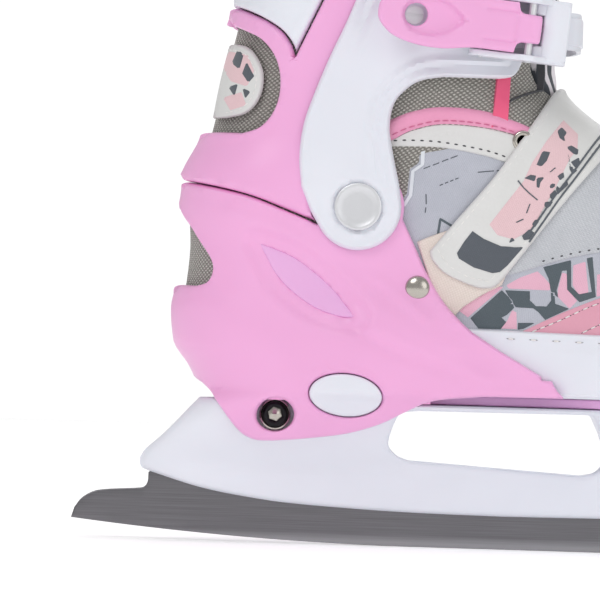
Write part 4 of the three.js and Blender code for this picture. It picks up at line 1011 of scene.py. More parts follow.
ink_white = woven("ink_print_white", "#e6e9ee", "#d5dae1", 0.7, 0.7, 0.3)
thread_white = coated("polyester_thread_white", "#f2f0ee", "#e0dedb", 0.6, 2000)
# Grey painted shade for the toe shell's needle holes, not a thread.
hole_shade_grey = coated("painted_shade_needle_holes_grey", "#a9a9ad", "#98989c", 0.6, 2000)
thread_pink = coated("polyester_thread_pink", "#d9789f", "#cc6a92", 0.6, 2000)
# Charcoal painted shade: the dark insides of needle holes, of the collar eyelets and of the liner's seam creases, not
# a thread.
hole_shade_dark = coated("painted_shade_holes_and_seams", "#55565a", "#47484c", 0.8, 2000)

upper_line = outline([
    [(66, 160.5)],
    [(58, 158.6), (50, 154.5)],
    [(30, 156.5)],
    [(19.5, 159.5), (6, 162), (-7.3, 163), (-18, 161), (-26.5, 157.5)],
    [(-46, 147)],
    [(-46, 63)],
    [(60, 62.5)],
    [(TOE_X + 3, 62.5)],
], step=1.8, closed=False)
upper = skin(
    "boot_upper_textile", [front_both(upper_line, 0)], -2.0, 0.0, grey_blue, rounding=0.8, spacing=2.6,
    from_front=True)
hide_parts("boot_quarters", "boot_vamp")
stretched = [upper]

vamp_line = outline([
    [(65, 161)],
    [(57, 159.5), (46, 150.5)],
    [(28, 124)],
    [(10, 103.5)],
    [(18, 103.8), (25.4, 105.6), (31.7, 107.8), (42.9, 111.2), (55.2, 113.8), (70, 115.5), (88, 116)],
    [(104, 115)],
    [(130, 113)],
], step=1.6, closed=False)
vamp = skin(
    "vamp_leathercloth_white", [front_both(vamp_line, 0)], -0.4, 0.8, vamp_mesh, rounding=0.8, spacing=2.4,
    from_front=True)
overlay_line = outline([
    [(140, 106)],
    [(113, 105), (98, 104), (80, 102), (66, 100.2), (55.7, 97.4), (42.6, 91.9), (33.3, 87.4)],
    [(25.9, 83.6)],
    [(22, 80)],
    [(22, 72)],
    [(TOE_X + 3, 72)],
], step=1.6, closed=False)
overlay = skin(
    "toe_overlay_leathercloth_pink", [front_both(overlay_line, 0)], -0.5, 0.4, pu_pink, rounding=0.7, spacing=2.4,
    from_front=True)
stretched += [vamp, overlay]
vamp_row = np.array([(31, 109.4), (42.9, 112.9), (55.2, 115.4), (70, 117.1), (88, 117.6), (100, 116.8)], float)
overlay_rows = [
    np.array([(28.6, 82.9), (39.1, 87.6), (52, 93.9), (64, 97.6), (80, 99.8), (98, 101.6), (113, 102.8)], float),
    np.array([(47.5, 83.2), (56.1, 87.4), (68, 91.4), (84, 94.4), (104, 96.8), (120, 98)], float)]
shards = {
    "rose": [
        [(19, 100.4), (24, 103.4), (30.6, 106), (33.4, 103.6), (35.4, 101.4), (35.6, 98.9), (20, 99.1)],
        [(38.4, 99.5), (39.8, 105.8), (41.6, 105.4), (42, 99.6), (45.8, 95.4), (43, 92.2), (38.4, 96.6)],
        [(43.8, 108.6), (48.4, 110.2), (49.9, 98.6), (46, 97.6), (43.8, 101.2)],
        [(21.5, 91.2), (23.2, 90.3), (23.6, 84), (17.4, 84), (19.9, 87.3)],
        [(52.8, 105.4), (58, 106.6), (65, 104.6), (63, 100), (52.8, 97)],
        [(1, 90.6), (8, 96), (14.5, 99.6), (18.2, 99.8), (5, 87.8)],
        [(70, 113), (82, 113.8), (86, 105), (74, 103)]],
    "slate": [
        [(5.9, 87.6), (17.4, 98.5), (21.4, 94.8), (22.3, 92), (19.6, 89.2), (17.7, 88.2), (19.5, 86.5),
         (17.4, 83.8), (9, 83.8)],
        [(18.6, 98.5), (28, 98.4), (28.1, 95), (30.4, 92.9), (34.4, 92.9), (36, 95.2), (35.8, 98.2),
         (37.2, 98.2), (37.6, 94), (43, 92.3), (34, 87.8), (31.4, 90.6), (29.4, 92), (22.8, 92.2), (20.4, 95.6)],
        [(23.8, 86.4), (30.4, 86.6), (26, 84.2), (23.8, 83.8)],
        [(32.6, 107.6), (43, 110.6), (43.4, 100.6), (46.4, 97.9), (51, 98.9), (48.8, 111.4), (51, 112), (52.6, 97),
         (46.6, 94.8), (41.8, 99.4), (41.5, 106.6), (39.8, 106.4), (38, 99), (38.8, 96), (35.8, 98.6),
         (34.8, 103.2)],
        [(62, 112), (69, 114), (66, 105.5), (73, 102.4), (64, 101.4), (60, 106)],
        [(86, 114), (95, 114.6), (99, 106.6), (90, 105), (87, 109)]]}
prints = [("rose", ink_rose, 0.1), ("slate", ink_slate, 0.18)]
for word, side in OUTER_INNER:
    for tint, ink, height in prints:
        loops = [on_side(outline([[p] for p in shard], step=1.0), side) for shard in shards[tint]]
        print_piece = skin(f"vamp_print_{tint}_{word}", loops, -0.15, height, ink, rounding=0.12, spacing=1.8)
        stretched.append(print_piece)
    vamp_seam = [on_side(smooth_through(vamp_row, 0.8), side)]
    overlay_seams = [on_side(smooth_through(row, 0.8), side) for row in overlay_rows]
    # The charcoal beads are painted shade in the needle holes; the white beads are the thread.
    for seam in (
            stitches(f"vamp_edge_holes_{word}", vamp_seam, 3.5, 0.55, 0.34, 0.78, hole_shade_dark),
            stitches(f"overlay_needle_holes_{word}", overlay_seams, 3.4, 1.75, 0.24, 0.4, hole_shade_dark),
            stitches(f"overlay_thread_{word}", overlay_seams, 3.4, 1.15, 0.3, 0.47, thread_white)):
        stretched.append(seam)
for piece in stretched:
    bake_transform(piece)

# The toe shell's upper edge is stitched to the upper, with the thread lying in a shallow moulded channel.
for word, side in OUTER_INNER:
    edge_row = smooth_through([(17, 80.4), (60, 79.6), (90, 80), (112, 81.8), (128, 84.2)], 0.8)
    edge_line = on_side(edge_row, side, TOE_OUT)
    # The longer grey beads under the white thread are painted shade in the needle holes.
    dressed(stitches(f"toe_shell_needle_holes_{word}", [edge_line], 8.5, 1.7, 0.34, TOE_OUT - 0.06,
        hole_shade_grey), "toe")
    dressed(stitches(f"toe_shell_thread_{word}", [edge_line], 8.5, 1.1, 0.42, TOE_OUT + 0.02, thread_white),
        "toe")

# ---------------------------------------------------------------- collar
# A white leathercloth facing with a row of needle holes, and a rolled pink piping above it, both sewn round the
# opening of the upper; a knitted mesh panel let into the quarter; and thin printed dashes.
trim_top = [(-33, 154), (-26.2, 153.6), (-18.4, 157.3), (-7.1, 160), (8.2, 159.3), (19.6, 157), (30, 153.6)]
pipe_top = [(-33, 158.6), (-26.5, 161.6), (-18.6, 164.9), (-7.3, 167), (8, 166), (19.5, 162.7), (30, 158.6)]
trim_low = [(33, 141.5), (26, 144), (18.1, 146), (8.5, 148.7), (-6.8, 151), (-26.2, 150.8), (-33, 150.6)]
facing_loop = outline([[(-33, 150.6)], [trim_top[0]], trim_top[1:], [(40, 152)], trim_low], step=1.2)
pipe_loop = outline([
    [(-33, 151.8)], [(-26.2, 152.6), (-18.4, 156.6), (-7.1, 159.3), (8.2, 158.6), (19.6, 156.3), (29, 153)],
    [(33, 153)], [pipe_top[-1]], pipe_top[-2::-1]], step=1.0)
hole_row = smooth_through([(-26, 153.2), (-18.4, 153.6), (-6.8, 153.2), (8.5, 150.9), (18.1, 148.2),
    (26, 145.2)], 0.8)
pipe_row = smooth_through([(-26, 155.2), (-18.4, 158.6), (-7.1, 161.2), (8.2, 160.5), (19.6, 158), (28, 155)], 0.8)
patch_loop = outline([
    [(-33, 151.5)], [(-14.9, 151.5)], [(-15, 145.3)], [(-18.4, 142.7)], [(-19.2, 133.7)], [(-21.5, 130)],
    [(-33, 128)]])
patch_edge = outline([[(-13.8, 151)], [(-13.9, 144.6)], [(-17.4, 142)], [(-18, 133)], [(-20.4, 129)]],
    closed=False, step=1)
dash_lines = [
    [(-13.4, 143.1), (-11, 144.1)], [(-10, 144.5), (-7.6, 145.5)], [(-6.6, 146), (-4.2, 147)],
    [(-3.4, 147.3), (-0.8, 148.4)],
    [(-7.2, 137), (-6, 137.5)], [(-5.2, 137.9), (-4, 138.4)], [(-3.3, 138.7), (-2.1, 139.2)],
    [(-1.4, 139.5), (-0.2, 140)],
    [(7, 142.4), (13, 143.1)], [(14, 143.2), (17, 143.5)], [(-12.2, 133.6), (-12, 129.8)],
    [(-12.1, 128.6), (-12.3, 126.6)]]
triangle = [(-7.4, 117.4), (-6.5, 124.4), (-0.4, 121)]


def sampled(line, step=0.8):
    """Straight runs through the points, cut at an even step."""
    return outline([[tuple(p)] for p in line], step=step, closed=False)


for word, side in OUTER_INNER:
    facing = skin(
        f"collar_facing_{word}", [on_side(facing_loop, side)], -0.5, 0.95, pu_white, rounding=0.7, spacing=1.8)
    dressed(facing)
    # The collar's needle holes are charcoal beads of painted shade.
    holes = stitches(f"collar_needle_holes_{word}", [on_side(hole_row, side)], 3.3, 0.75, 0.34, 0.93, hole_shade_dark)
    dressed(holes)
    piping = skin(
        f"collar_piping_{word}", [on_side(pipe_loop, side)], -1.0, 1.9, piping_pink, rounding=3.2, spacing=1.5,
        relief=lambda x, z, q, d: -0.5 * ridge(nearest_to(np.column_stack([x, z]), pipe_row), 0.9))
    dressed(piping)
    seam = stitches(f"collar_piping_thread_{word}", [on_side(pipe_row, side)], 3.1, 1.25, 0.26, 1.45, thread_pink)
    dressed(seam)
    let_in = skin(f"quarter_mesh_panel_{word}", [on_side(patch_loop, side)], -0.4, 0.25, knit_mesh,
        rounding=0.5, spacing=2)
    dressed(let_in)
    border_strip = strip(f"quarter_panel_edge_{word}", [on_side(patch_edge, side)], 1.3, -0.2, 0.42, ink_white)
    dressed(border_strip)
    dashes = strip(f"quarter_dashes_{word}", [on_side(sampled(d, 0.5), side) for d in dash_lines], 0.42, -0.2,
        0.09, ink_grey)
    dressed(dashes)
    corner = strip(f"quarter_triangle_{word}", [on_side(sampled(triangle, 0.5), side)], 0.9, -0.2, 0.1, ink_slate)
    dressed(corner)
    x, z = 23.5, 154.6
    face = half_width(np.array([x]), np.array([z]))[0] + 1.2
    turn = np.linspace(0, 2 * np.pi, 18, endpoint=False)
    eyelet_ring = np.column_stack([3.0 - 0.95 * np.cos(turn), face + 0.2 + 0.7 * np.sin(turn)])
    eyelet = turned(f"collar_eyelet_ring_{word}", np.vstack([eyelet_ring, eyelet_ring[:1]]), x, z, nickel, side, 40)
    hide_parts("eyelet_lateral" if side < 0 else "eyelet_medial")
    dressed(eyelet)
    # The eyelet's hole is a flat charcoal disc of painted shade.
    hollow_profile = [(0.05, face - 1), (2.5, face - 1), (2.5, face), (0.05, face)]
    hollow = turned(f"collar_eyelet_hole_{word}", hollow_profile, x, z, hole_shade_dark, side, 30)
    dressed(hollow)

# ---------------------------------------------------------------- padded liner and tongue
# Foam-filled knitted liner round the ankle and shin, open at the front, with a padded tongue in the opening.
# Both are blown up a little as cloth.


def settled(piece):
    """Leaves the piece with the mesh that its modifiers give."""
    made = bpy.data.meshes.new_from_object(piece.evaluated_get(bpy.context.evaluated_depsgraph_get()))
    piece.modifiers.clear()
    piece.data = made


def plumped(piece, voxel, cap):
    """Foam pressing on its cover: an even remesh, 20 frames of cloth with air inside, each point kept within the cap
    of where it began, and one subdivision."""
    remesh = piece.modifiers.new("even", "REMESH")
    remesh.mode = "VOXEL"
    remesh.voxel_size = voxel * MM
    settled(piece)
    rest = np.empty(3 * len(piece.data.vertices))
    piece.data.vertices.foreach_get("co", rest)
    cloth = piece.modifiers.new("cloth", "CLOTH")
    cloth.settings.use_pressure = True
    cloth.settings.uniform_pressure_force = 4
    cloth.settings.effector_weights.gravity = 0
    cloth.point_cache.frame_start = 1
    cloth.point_cache.frame_end = 20
    for frame_number in range(1, 21):
        bpy.context.scene.frame_set(frame_number)
    settled(piece)
    moved = np.empty_like(rest)
    piece.data.vertices.foreach_get("co", moved)
    step = (moved - rest).reshape(-1, 3)
    length = np.maximum(np.linalg.norm(step, axis=1), 1e-9)[:, None]
    kept = rest.reshape(-1, 3) + step * np.minimum(1, cap * MM / length)
    piece.data.vertices.foreach_set("co", kept.ravel())
    bpy.context.scene.frame_set(1)
    finer = piece.modifiers.new("finer", "SUBSURF")
    finer.levels = finer.render_levels = 1
    settled(piece)


def charted(piece, from_front=False):
    """Gives every corner its place on the unrolled form, in units of 100 mm: how far round it, and its height."""
    mesh = piece.data
    flat = np.empty(3 * len(mesh.vertices))
    mesh.vertices.foreach_get("co", flat)
    points = (flat.reshape(-1, 3) - SHIFT) / MM
    round_at = round_of(points[:, 0], points[:, 2])
    u = points[:, 1] if from_front else np.sign(points[:, 1]) * round_at
    corners = np.empty(len(mesh.loops), int)
    mesh.loops.foreach_get("vertex_index", corners)
    layer = mesh.uv_layers.new(name="UVMap")
    layer.data.foreach_set("uv", np.column_stack([u, points[:, 2]])[corners].ravel() * 0.01)
    mesh.polygons.foreach_set("use_smooth", np.ones(len(mesh.polygons), bool))


def notch(z, room):
    """The liner's front edge, on the unrolled form: a set distance from the middle of the front."""
    z = np.asarray(z, float)
    return np.column_stack([-(reach(z) - room), z])


rows = np.vstack([
    [(0, 249)],
    np.column_stack([np.linspace(-6, -(reach(249.0) - 32), 40), np.full(40, 249.0)]),
    notch(np.array([247.5]), 22), notch(np.linspace(242, 182, 36), 18.5), notch(np.array([177, 174]), [14, 7]),
    notch(np.linspace(170, 152, 10), 6),
    np.column_stack([np.linspace(-100, -30, 30), np.linspace(142, 137, 30)]),
    [(0, 136)]])
liner_loop = np.vstack([rows, rows[::-1][1:-1] * [-1, 1]])


def liner_swell(x, z, q, d):
    """A soft roll of foam round the top of the collar, above one sewn channel."""
    return 0.8 * np.sin(np.clip((z - 226) / 24, 0, 1) * np.pi) ** 2 - 1.6 * ridge(z - 224, 1.6)


liner = skin(
    "padded_ankle_liner", [liner_loop], -7.6, -1.0, knit_mesh, rounding=3.4, spacing=2.6, relief=liner_swell)
plumped(liner, 2.6, 1.6)
charted(liner)
liner.data.materials.clear()
liner.data.materials.append(knit_mesh)
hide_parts("boot_shaft")
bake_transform(liner)


def tongue_cloth():
    """Printed polyester, pale pink, with a pair of dark lines down each side and fine threads."""
    material, tree, shader = new_material("polyester_woven_tongue_pale_pink", "#f3e2e8", 0.75)
    chart = add(tree, "UVMap").outputs["UV"]
    across = add(tree, "SeparateXYZ", {0: chart}).outputs["X"]
    off = add(tree, "Math", {0: across}, operation="ABSOLUTE").outputs[0]
    bands = None
    for centre_mm, half in ((7.4, 0.9), (10.2, 0.5)):
        gap = add(tree, "Math", {0: off, 1: centre_mm / 100}, operation="SUBTRACT").outputs[0]
        gap = add(tree, "Math", {0: gap}, operation="ABSOLUTE").outputs[0]
        band = add(tree, "MapRange", {0: gap, 1: half / 100, 2: (half + 0.12) / 100, 3: 1.0, 4: 0.0}).outputs[0]
        bands = band if bands is None else add(tree, "Math", {0: bands, 1: band}, operation="MAXIMUM").outputs[0]
    rose = add(tree, "MapRange", {0: off, 1: 0.11, 2: 0.17, 3: 0.0, 4: 1.0}).outputs[0]
    base = blend_colours(tree, rose, "#efe9ee", "#f3ccd8")
    tree.links.new(blend_colours(tree, bands, base, "#4a4e55"), shader.inputs["Base Color"])
    threads = add(tree, "Mapping", {"Vector": chart, "Scale": (140, 140, 1)}).outputs["Vector"]
    weave = add(tree, "TexVoronoi", {"Vector": threads, "Scale": 1.0, "Randomness": 0.1}, voronoi_dimensions="2D")
    bumped(tree, shader, weave.outputs["Distance"], 0.3, 0.0003)
    shader.inputs["Sheen Weight"].default_value = 0.2
    return material


tongue_print = tongue_cloth()
half_loop = outline([
    [(0, 259)], [(-9, 258.8), (-15, 256), (-18, 249)], [(-17.6, 200)], [(-17, 176)], [(-12, 162)], [(0, 156)]],
    closed=False, step=2)
half_loop[[0, -1], 0] = 0
tongue_loop = np.vstack([half_loop, half_loop[::-1][1:-1] * [-1, 1]])
tongue = skin("padded_tongue", [tongue_loop], -7.4, -0.8, tongue_print, rounding=3.4, spacing=2.6, from_front=True)
plumped(tongue, 2.6, 1.4)
charted(tongue, from_front=True)
tongue.data.materials.clear()
tongue.data.materials.append(tongue_print)
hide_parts("tongue", "tongue_base")
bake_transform(tongue)
liner_seams = [[(30.6, 187), (30.9, 180), (30.4, 174.6)], [(14, 165.5), (19, 170), (25, 172.6), (30.6, 174.4)]]
for word, side in OUTER_INNER:
    seam_rows = [on_side(smooth_through(row, 0.8), side) for row in liner_seams]
    # The liner's seam lines are charcoal strips of painted shade in its seams and a crease.
    liner_seam = strip(f"liner_seam_{word}", seam_rows, 0.55, -2.0, 0.75, hole_shade_dark)
    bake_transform(liner_seam)
    tape_line = on_side(outline([[(15.6, 186)], [(15.2, 177.2)], [(14.4, 160)]], closed=False, step=1.5), side)
    tape = strip(f"pull_ribbon_{word}", [tape_line], 5.2, -1.2, 1.3, ribbon_pink)
    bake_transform(tape)

# ---------------------------------------------------------------- footbed
# Grey needled felt insole, about 3 mm thick, cut to the form's plan just above the sole.
# It is laid loose inside the boot, with its upper edge rounded by wear.
felt = woven("polyester_felt_needled_grey", "#9a9895", "#83817e", 0.5, 0.95)
around = np.linspace(-118, 118, 160)
bed = on_form(around, np.full(160, 66.0), -3.4)
bed = bed[bed[:, 0] < 80][:, :2]
footbed = slab(
    "footbed_felt", [bed], lambda u, v, d: 66.8 + 0.5 * round_over(d, 1.2), 64.6, felt, spacing=3.0,
    rounding=1.2, lay=lambda u, v, w: np.column_stack([u, v, w]))
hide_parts("footbed")
dressed(footbed)

# ---------------------------------------------------------------- back patch
# Round white leathercloth patch sewn to the liner, seen through the cuff's rear window.
# It carries a plain print of pink and grey shards and a row of white thread inside its edge.
patch_line = outline([
    [(-94, 189)], [(-86, 188.4), (-80.1, 186.2), (-75.6, 179.6), (-74.8, 173), (-76.6, 166.6), (-81, 162),
    (-88, 160.2)],
    [(-99, 160)]], closed=False)
back_patch = skin("back_patch_leathercloth", [both_sides(patch_line, 0)], -0.6, 0.9, pu_white, rounding=0.9,
    spacing=2.0)
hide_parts("back_patch")
dressed(back_patch, "cuff")
patch_shards = {
    "pink": [
        [(-88, 186), (-80, 184), (-77.5, 178), (-80, 172), (-86, 174), (-90, 180)],
        [(-89, 168), (-82, 170), (-80, 165), (-86, 163)]],
    "grey": [
        [(-84, 186), (-81.4, 184.6), (-83, 178.4), (-86, 181)],
        [(-80.4, 181.6), (-77.4, 176), (-79.6, 173.4), (-82, 177)],
        [(-87, 172), (-83.4, 173.2), (-84.6, 168.2)], [(-81.8, 171.6), (-78.6, 170.2), (-80.6, 167.4)]]}
for tint, ink, height in (("pink", ink_pink, 0.96), ("grey", ink_grey, 1.0)):
    shapes = [outline([[p] for p in shard], step=1.0) for shard in patch_shards[tint]]
    loops = [on_side(shape, side) for shape in shapes for side in (-1, 1)]
    dressed(skin(f"back_patch_print_{tint}", loops, 0.6, height, ink, rounding=0.12, spacing=1.6),
        "cuff")
edge_thread = smooth_through([(-88, 186.6), (-81.4, 184.6), (-77.4, 178.6), (-76.8, 173), (-78.4, 167.6),
    (-82.4, 163.6), (-88, 162)], 0.8)
thread_rows = [on_side(edge_thread, side) for side in (-1, 1)]
dressed(stitches("back_patch_thread", thread_rows, 2.6, 1.0, 0.24, 0.92, thread_white), "cuff")

# ---------------------------------------------------------------- instep strap
# White leathercloth strap with a stitched border that crosses the instep, printed pale pink with dark shards, two
# dark lines and a solid end patch. A cream webbing strap lies under each end and is riveted to the shell.
strap_line = outline([
    [(40, 176.2)],
    [(36.2, 173.8), (31, 166.6)],
    [(23.5, 155.8), (12.6, 140.2), (-0.2, 124.6)],
    [(-10.1, 112.3)],
    [(-9.4, 109.4), (-5.3, 104.9), (0.5, 101.8), (8.2, 99.1), (13.4, 99)],
    [(16.5, 101.2), (24.9, 112.1), (39.5, 131.6), (54.1, 149.1)],
    [(58.6, 154.4)],
    [(62, 157.4)],
], step=1.3, closed=False)
STRAP_LOW, STRAP_HIGH = 1.3, 3.0
strap = skin(
    "instep_strap_leathercloth", [front_both(strap_line, 2.0)], STRAP_LOW, STRAP_HIGH, pu_white, rounding=0.9,
    spacing=2.0, from_front=True, relief=lambda x, z, q, d: -0.3 * ridge(d - 2.9, 0.7))
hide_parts("instep_strap")
dressed(strap)
strap_prints = [
    ("pink", ink_pink, 0.1, [
        [(11.8, 122.9), (19, 132.7), (24.1, 139.6), (27.1, 146.6), (32.4, 155), (38.8, 163.2), (44.4, 158),
         (44.2, 152.4), (41.4, 148.6), (39.4, 144.4), (36.4, 138), (31.6, 129), (27.8, 121.4), (21, 117.6),
         (15, 119)]]),
    ("dark", ink_grey, 0.2, [
        [(36.3, 158.9), (38.1, 160.5), (40.1, 158.4), (39, 156.8), (39.6, 154.7), (37.2, 156.2)],
        [(30.9, 151.2), (33.9, 150.8), (32.7, 147.5), (30.6, 145.1), (28.7, 145.8)],
        [(39.7, 152.8), (41.8, 153.7), (44.5, 152.2), (44.3, 150), (42.4, 150.5)],
        [(40.3, 151.5), (41.7, 147.3), (44.2, 144.2), (42.4, 142.5), (41.3, 144.6)],
        [(24.1, 140.6), (26.7, 142.1), (28.8, 141.8), (28.4, 139.4), (26.2, 140.1)],
        [(28.9, 141), (32.1, 141.4), (30.5, 139.2), (30.1, 136.8), (29, 137.6)],
        [(34.3, 139.1), (36.1, 138.9), (35.7, 137.2), (33.8, 137.2)],
        [(36.7, 138.3), (38.1, 137), (40.6, 140), (41, 138.8), (37.1, 134.9), (36.2, 136.5)],
        [(32.3, 132.1), (35.4, 132.2), (34.5, 130.5), (33.2, 129.5), (32.1, 130.7)],
        [(24.2, 119), (26.8, 121.8), (28.8, 120.4), (27.2, 117.8), (25, 117.4)],
        [(27.6, 123.4), (29.2, 125.8), (30.4, 124.6), (29, 122.4)],
        [(33.6, 134.4), (36, 136.8), (37, 135.6), (35, 133)],
        [(36.6, 141.8), (39, 143.6), (39.4, 141.6), (37.8, 140.2)],
        [(41, 147), (44.8, 149.2), (45.2, 147.2), (43, 144.8)],
        [(19.4, 116.2), (20.4, 118.8), (21.6, 117.2)],
        [(5.6, 120.3), (2.6, 116.2), (0, 111.8), (0.8, 109.8), (6.5, 106.6), (13.6, 104.7), (16.4, 105.2),
         (19.2, 107.8), (25, 114.9), (21.8, 114.7), (16.4, 115), (10, 117.5)]])]
stripe_rows = [
    [(55.4, 160.4), (50.2, 154.2), (41.7, 142.2), (36.2, 134.6), (30, 125), (26.4, 119.6)],
    [(57.2, 159.2), (51.8, 152.8), (43.2, 140.9), (37.8, 133.4), (31.4, 123.6), (27, 116.8)]]
fine_rows = [
    [(22, 139.7), (24.2, 137.1), (26.4, 135.1), (29.6, 132.6)], [(26.8, 131.1), (25.6, 127.6)],
    [(21.9, 124), (24.5, 125.3)], [(33.9, 143.2), (35.9, 145)]]
border_row = [
    [(33.2, 166), (25, 154.4), (14.6, 139.6), (1.8, 123.2), (-7, 112.6), (-3, 107), (4, 103.2), (12.4, 101.4),
     (23.2, 113.6), (37.8, 132.8), (52.2, 150.4), (57, 155.6)]]
for word, side in OUTER_INNER:
    for tint, ink, height, polygons in strap_prints:
        loops = [on_side(outline([[p] for p in polygon], step=1.0), side, STRAP_HIGH) for polygon in polygons]
        piece = skin(f"strap_print_{tint}_{word}", loops, STRAP_HIGH - 0.3, STRAP_HIGH + height, ink,
            rounding=0.12, spacing=1.6)
        dressed(piece)
    bands = [on_side(smooth_through(row, 0.9), side, STRAP_HIGH) for row in stripe_rows]
    dressed(strip(f"strap_lines_{word}", bands, 0.7, STRAP_HIGH - 0.3, STRAP_HIGH + 0.24, ink_grey))
    fine = [on_side(sampled(row, 0.6), side, STRAP_HIGH) for row in fine_rows]
    dressed(strip(f"strap_fine_lines_{word}", fine, 0.45, STRAP_HIGH - 0.3, STRAP_HIGH + 0.24, ink_grey))
    border_line = [on_side(sampled(row, 0.8), side, STRAP_HIGH) for row in border_row]
    dressed(stitches(f"strap_border_thread_{word}", border_line, 2.9, 1.15, 0.24, STRAP_HIGH - 0.18,
        thread_white))
    web_loop = outline([
        [(-15, 115.6)], [(-9.9, 117.9), (-0.8, 121.3)], [(8, 126)], [(24, 118)], [(17.4, 100.2)],
        [(10.7, 96.7), (3.1, 91.6)],
        [(-1, 87)], [(-7, 93)]])
    web = skin(f"base_strap_webbing_{word}", [on_side(web_loop, side)], 0.1, 1.25, cream_web, rounding=0.6,
        spacing=2.0)
    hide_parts("strap_anchor_lateral" if side < 0 else "strap_anchor_medial")
    dressed(web)

# ---------------------------------------------------------------- ratchet buckle
# White base with two side rails and an end block, riveted to the outer wing; a pink teardrop lever on a steel pin;
# and a release pawl. It runs along its own line, tipped and turned to follow the strap.
BUCKLE_X, BUCKLE_Z = 23.6, 195.9
YAW, ROLL = 0.09, 0.096
HINGE_UP = 9.7
turn_yaw = np.array([[np.cos(YAW), -np.sin(YAW), 0], [np.sin(YAW), np.cos(YAW), 0], [0, 0, 1]])
turn_roll = np.array([[np.cos(ROLL), 0, np.sin(ROLL)], [0, 1, 0], [-np.sin(ROLL), 0, np.cos(ROLL)]])
BACK = 43.3885
buckle_origin = np.array([BUCKLE_X, -BACK + np.tan(YAW) * BUCKLE_X, BUCKLE_Z])


def in_buckle(u, v, w):
    """Along the strap, up it, and out from the boot, as a place in the drawing frame."""
    return np.column_stack([u, -np.asarray(w), v]) @ (turn_yaw @ turn_roll).T + buckle_origin


lever_loop = outline([
    [(-5.4, -9.4)],
    [(-4.6, -6.4), (-3, -5.4)],
    [(3, -5.2)],
    [(3.8, -4.2), (3.8, 4.2), (3, 5.2)],
    [(-3, 5.4)],
    [(-4.6, 6.4), (-5.4, 9.4)],
    [(-12, 9.4), (-21, 9.6), (-32, 11.3), (-42, 11), (-51, 8.6), (-56.4, 4), (-57.4, 0), (-56.4, -4),
     (-51, -8.6), (-42, -11), (-32, -11.3), (-21, -9.6), (-12, -9.4), (-5.4, -9.4)]], step=1.0)
dish = outline([
    [(-23.4, 0)], [(-27, -3.6), (-32, -6.8), (-38.4, -8), (-44.6, -6.6), (-48, -3.4), (-49, 0), (-48, 3.4),
    (-44.6, 6.6), (-38.4, 8), (-32, 6.8), (-27, 3.6)]],
    step=1.2)
screw_gap = circle(-43, 0, 4.3, count=40)
LEVER_TOP, LEVER_FOOT = HINGE_UP + 1.8, HINGE_UP - 1.8


def lever_face(u, v, d):
    """A crowned face with a long recess behind the pin, deepest where the finger goes."""
    deep = signed_distance(np.column_stack([u, v]), [dish])
    barrel = 1.8 * np.sqrt(np.clip(1 - (u / 5.6) ** 2, 0, 1)) * (np.abs(u) < 5.6)
    groove = -0.6 * ridge(np.abs(v) - 5.6, 0.6) * ease(u, -20, -16)
    curl = 1.2 * ease(-u, 44, 58)
    return LEVER_TOP - 1.0 + 1.0 * round_over(d, 1.4) + barrel + groove - 2.5 * ease(deep, 0, 1.8) + curl


lever = slab(
    "buckle_lever_moulding", [lever_loop, screw_gap], lever_face,
    lambda u, v, d: LEVER_FOOT + 0.4 - 0.4 * round_over(d, 0.8) + 0.8 * ease(-u, 44, 58),
    pink_plastic, spacing=1.1, rounding=1.4, lay=in_buckle)
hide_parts("buckle_lever")
dressed(lever, "lever")
base_loop = outline([
    [(-50, -6)], [(-21, -6)], [(-21, -12)], [(15, -12)], [(15, 12)], [(-21, 12)], [(-21, 6)], [(-50, 6)]], step=1.4)
base_plate = slab(
    "buckle_base_plate", [base_loop], lambda u, v, d: 1.0 + 0.6 * round_over(d, 0.6), 0.0, white_plastic,
    spacing=2.0, rounding=0.6, lay=in_buckle)
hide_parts("buckle_base")
dressed(base_plate, "cuff")
rail_profile = outline([
    [(-21, 0)], [(15, 0)], [(15, 5.4)], [(13.8, 6.6), (9, 7.6), (4.6, 10.4), (2.4, 12.2), (0, 12.6), (-2.6, 12),
    (-5, 9.9), (-9.4, 8.6)], [(-18, 8)], [(-20.4, 7.2), (-21, 5.6)]],
    step=0.9)
for word, low, high in (("lower", -12, -9.7), ("upper", 9.7, 12)):
    side_rail = slab(
        f"buckle_rail_{word}", [rail_profile], lambda u, v, d: high - 0.4 + 0.4 * round_over(d, 0.5),
        lambda u, v, d: low + 0.4 - 0.4 * round_over(d, 0.5), white_plastic, spacing=1.6, rounding=0.5,
        lay=lambda u, v, w: in_buckle(u, w, v))
    dressed(side_rail, "cuff")
block_loop = outline([[(4.9, -11.4)], [(13.6, -11.4)], [(15, -10)], [(15, 10)], [(13.6, 11.4)], [(4.9, 11.4)]],
    step=1.0)
end_block = slab(
    "buckle_end_block", [block_loop], lambda u, v, d: 7.4 + 0.8 * round_over(d, 0.9) - 1.6 * ease(u, 9, 15),
    4.7, white_plastic, spacing=1.6, rounding=0.9, lay=in_buckle)
dressed(end_block, "cuff")
for word, middle in (("lower", -7.9), ("upper", 7.9)):
    corner_loop = outline([[(1.6, middle - 2.2)], [(6, middle - 2.2)], [(6, middle + 2.2)],
        [(1.6, middle + 2.2)]], step=0.9)
    corner_block = slab(
        f"buckle_corner_block_{word}", [corner_loop], lambda u, v, d: 7.2 + 0.8 * round_over(d, 0.8),
        1.0, white_plastic, spacing=1.4, rounding=0.8, lay=in_buckle)
    dressed(corner_block, "cuff")

# ---------------------------------------------------------------- ladder strap
# White toothed polyurethane strap, 14 mm wide, with a tooth every 3 mm along its outer face.
# It runs from the screw on the inner wing round the shin and into the buckle.
MEDIAL_FACE = SHIN_HALF + WING_OUT + 0.9


def plan_in_buckle(u, w):
    """Along the strap and out from the boot, seen from above."""
    return (BUCKLE_X + u * np.cos(YAW) + w * np.sin(YAW),
            -BACK + np.tan(YAW) * BUCKLE_X + u * np.sin(YAW) - w * np.cos(YAW))


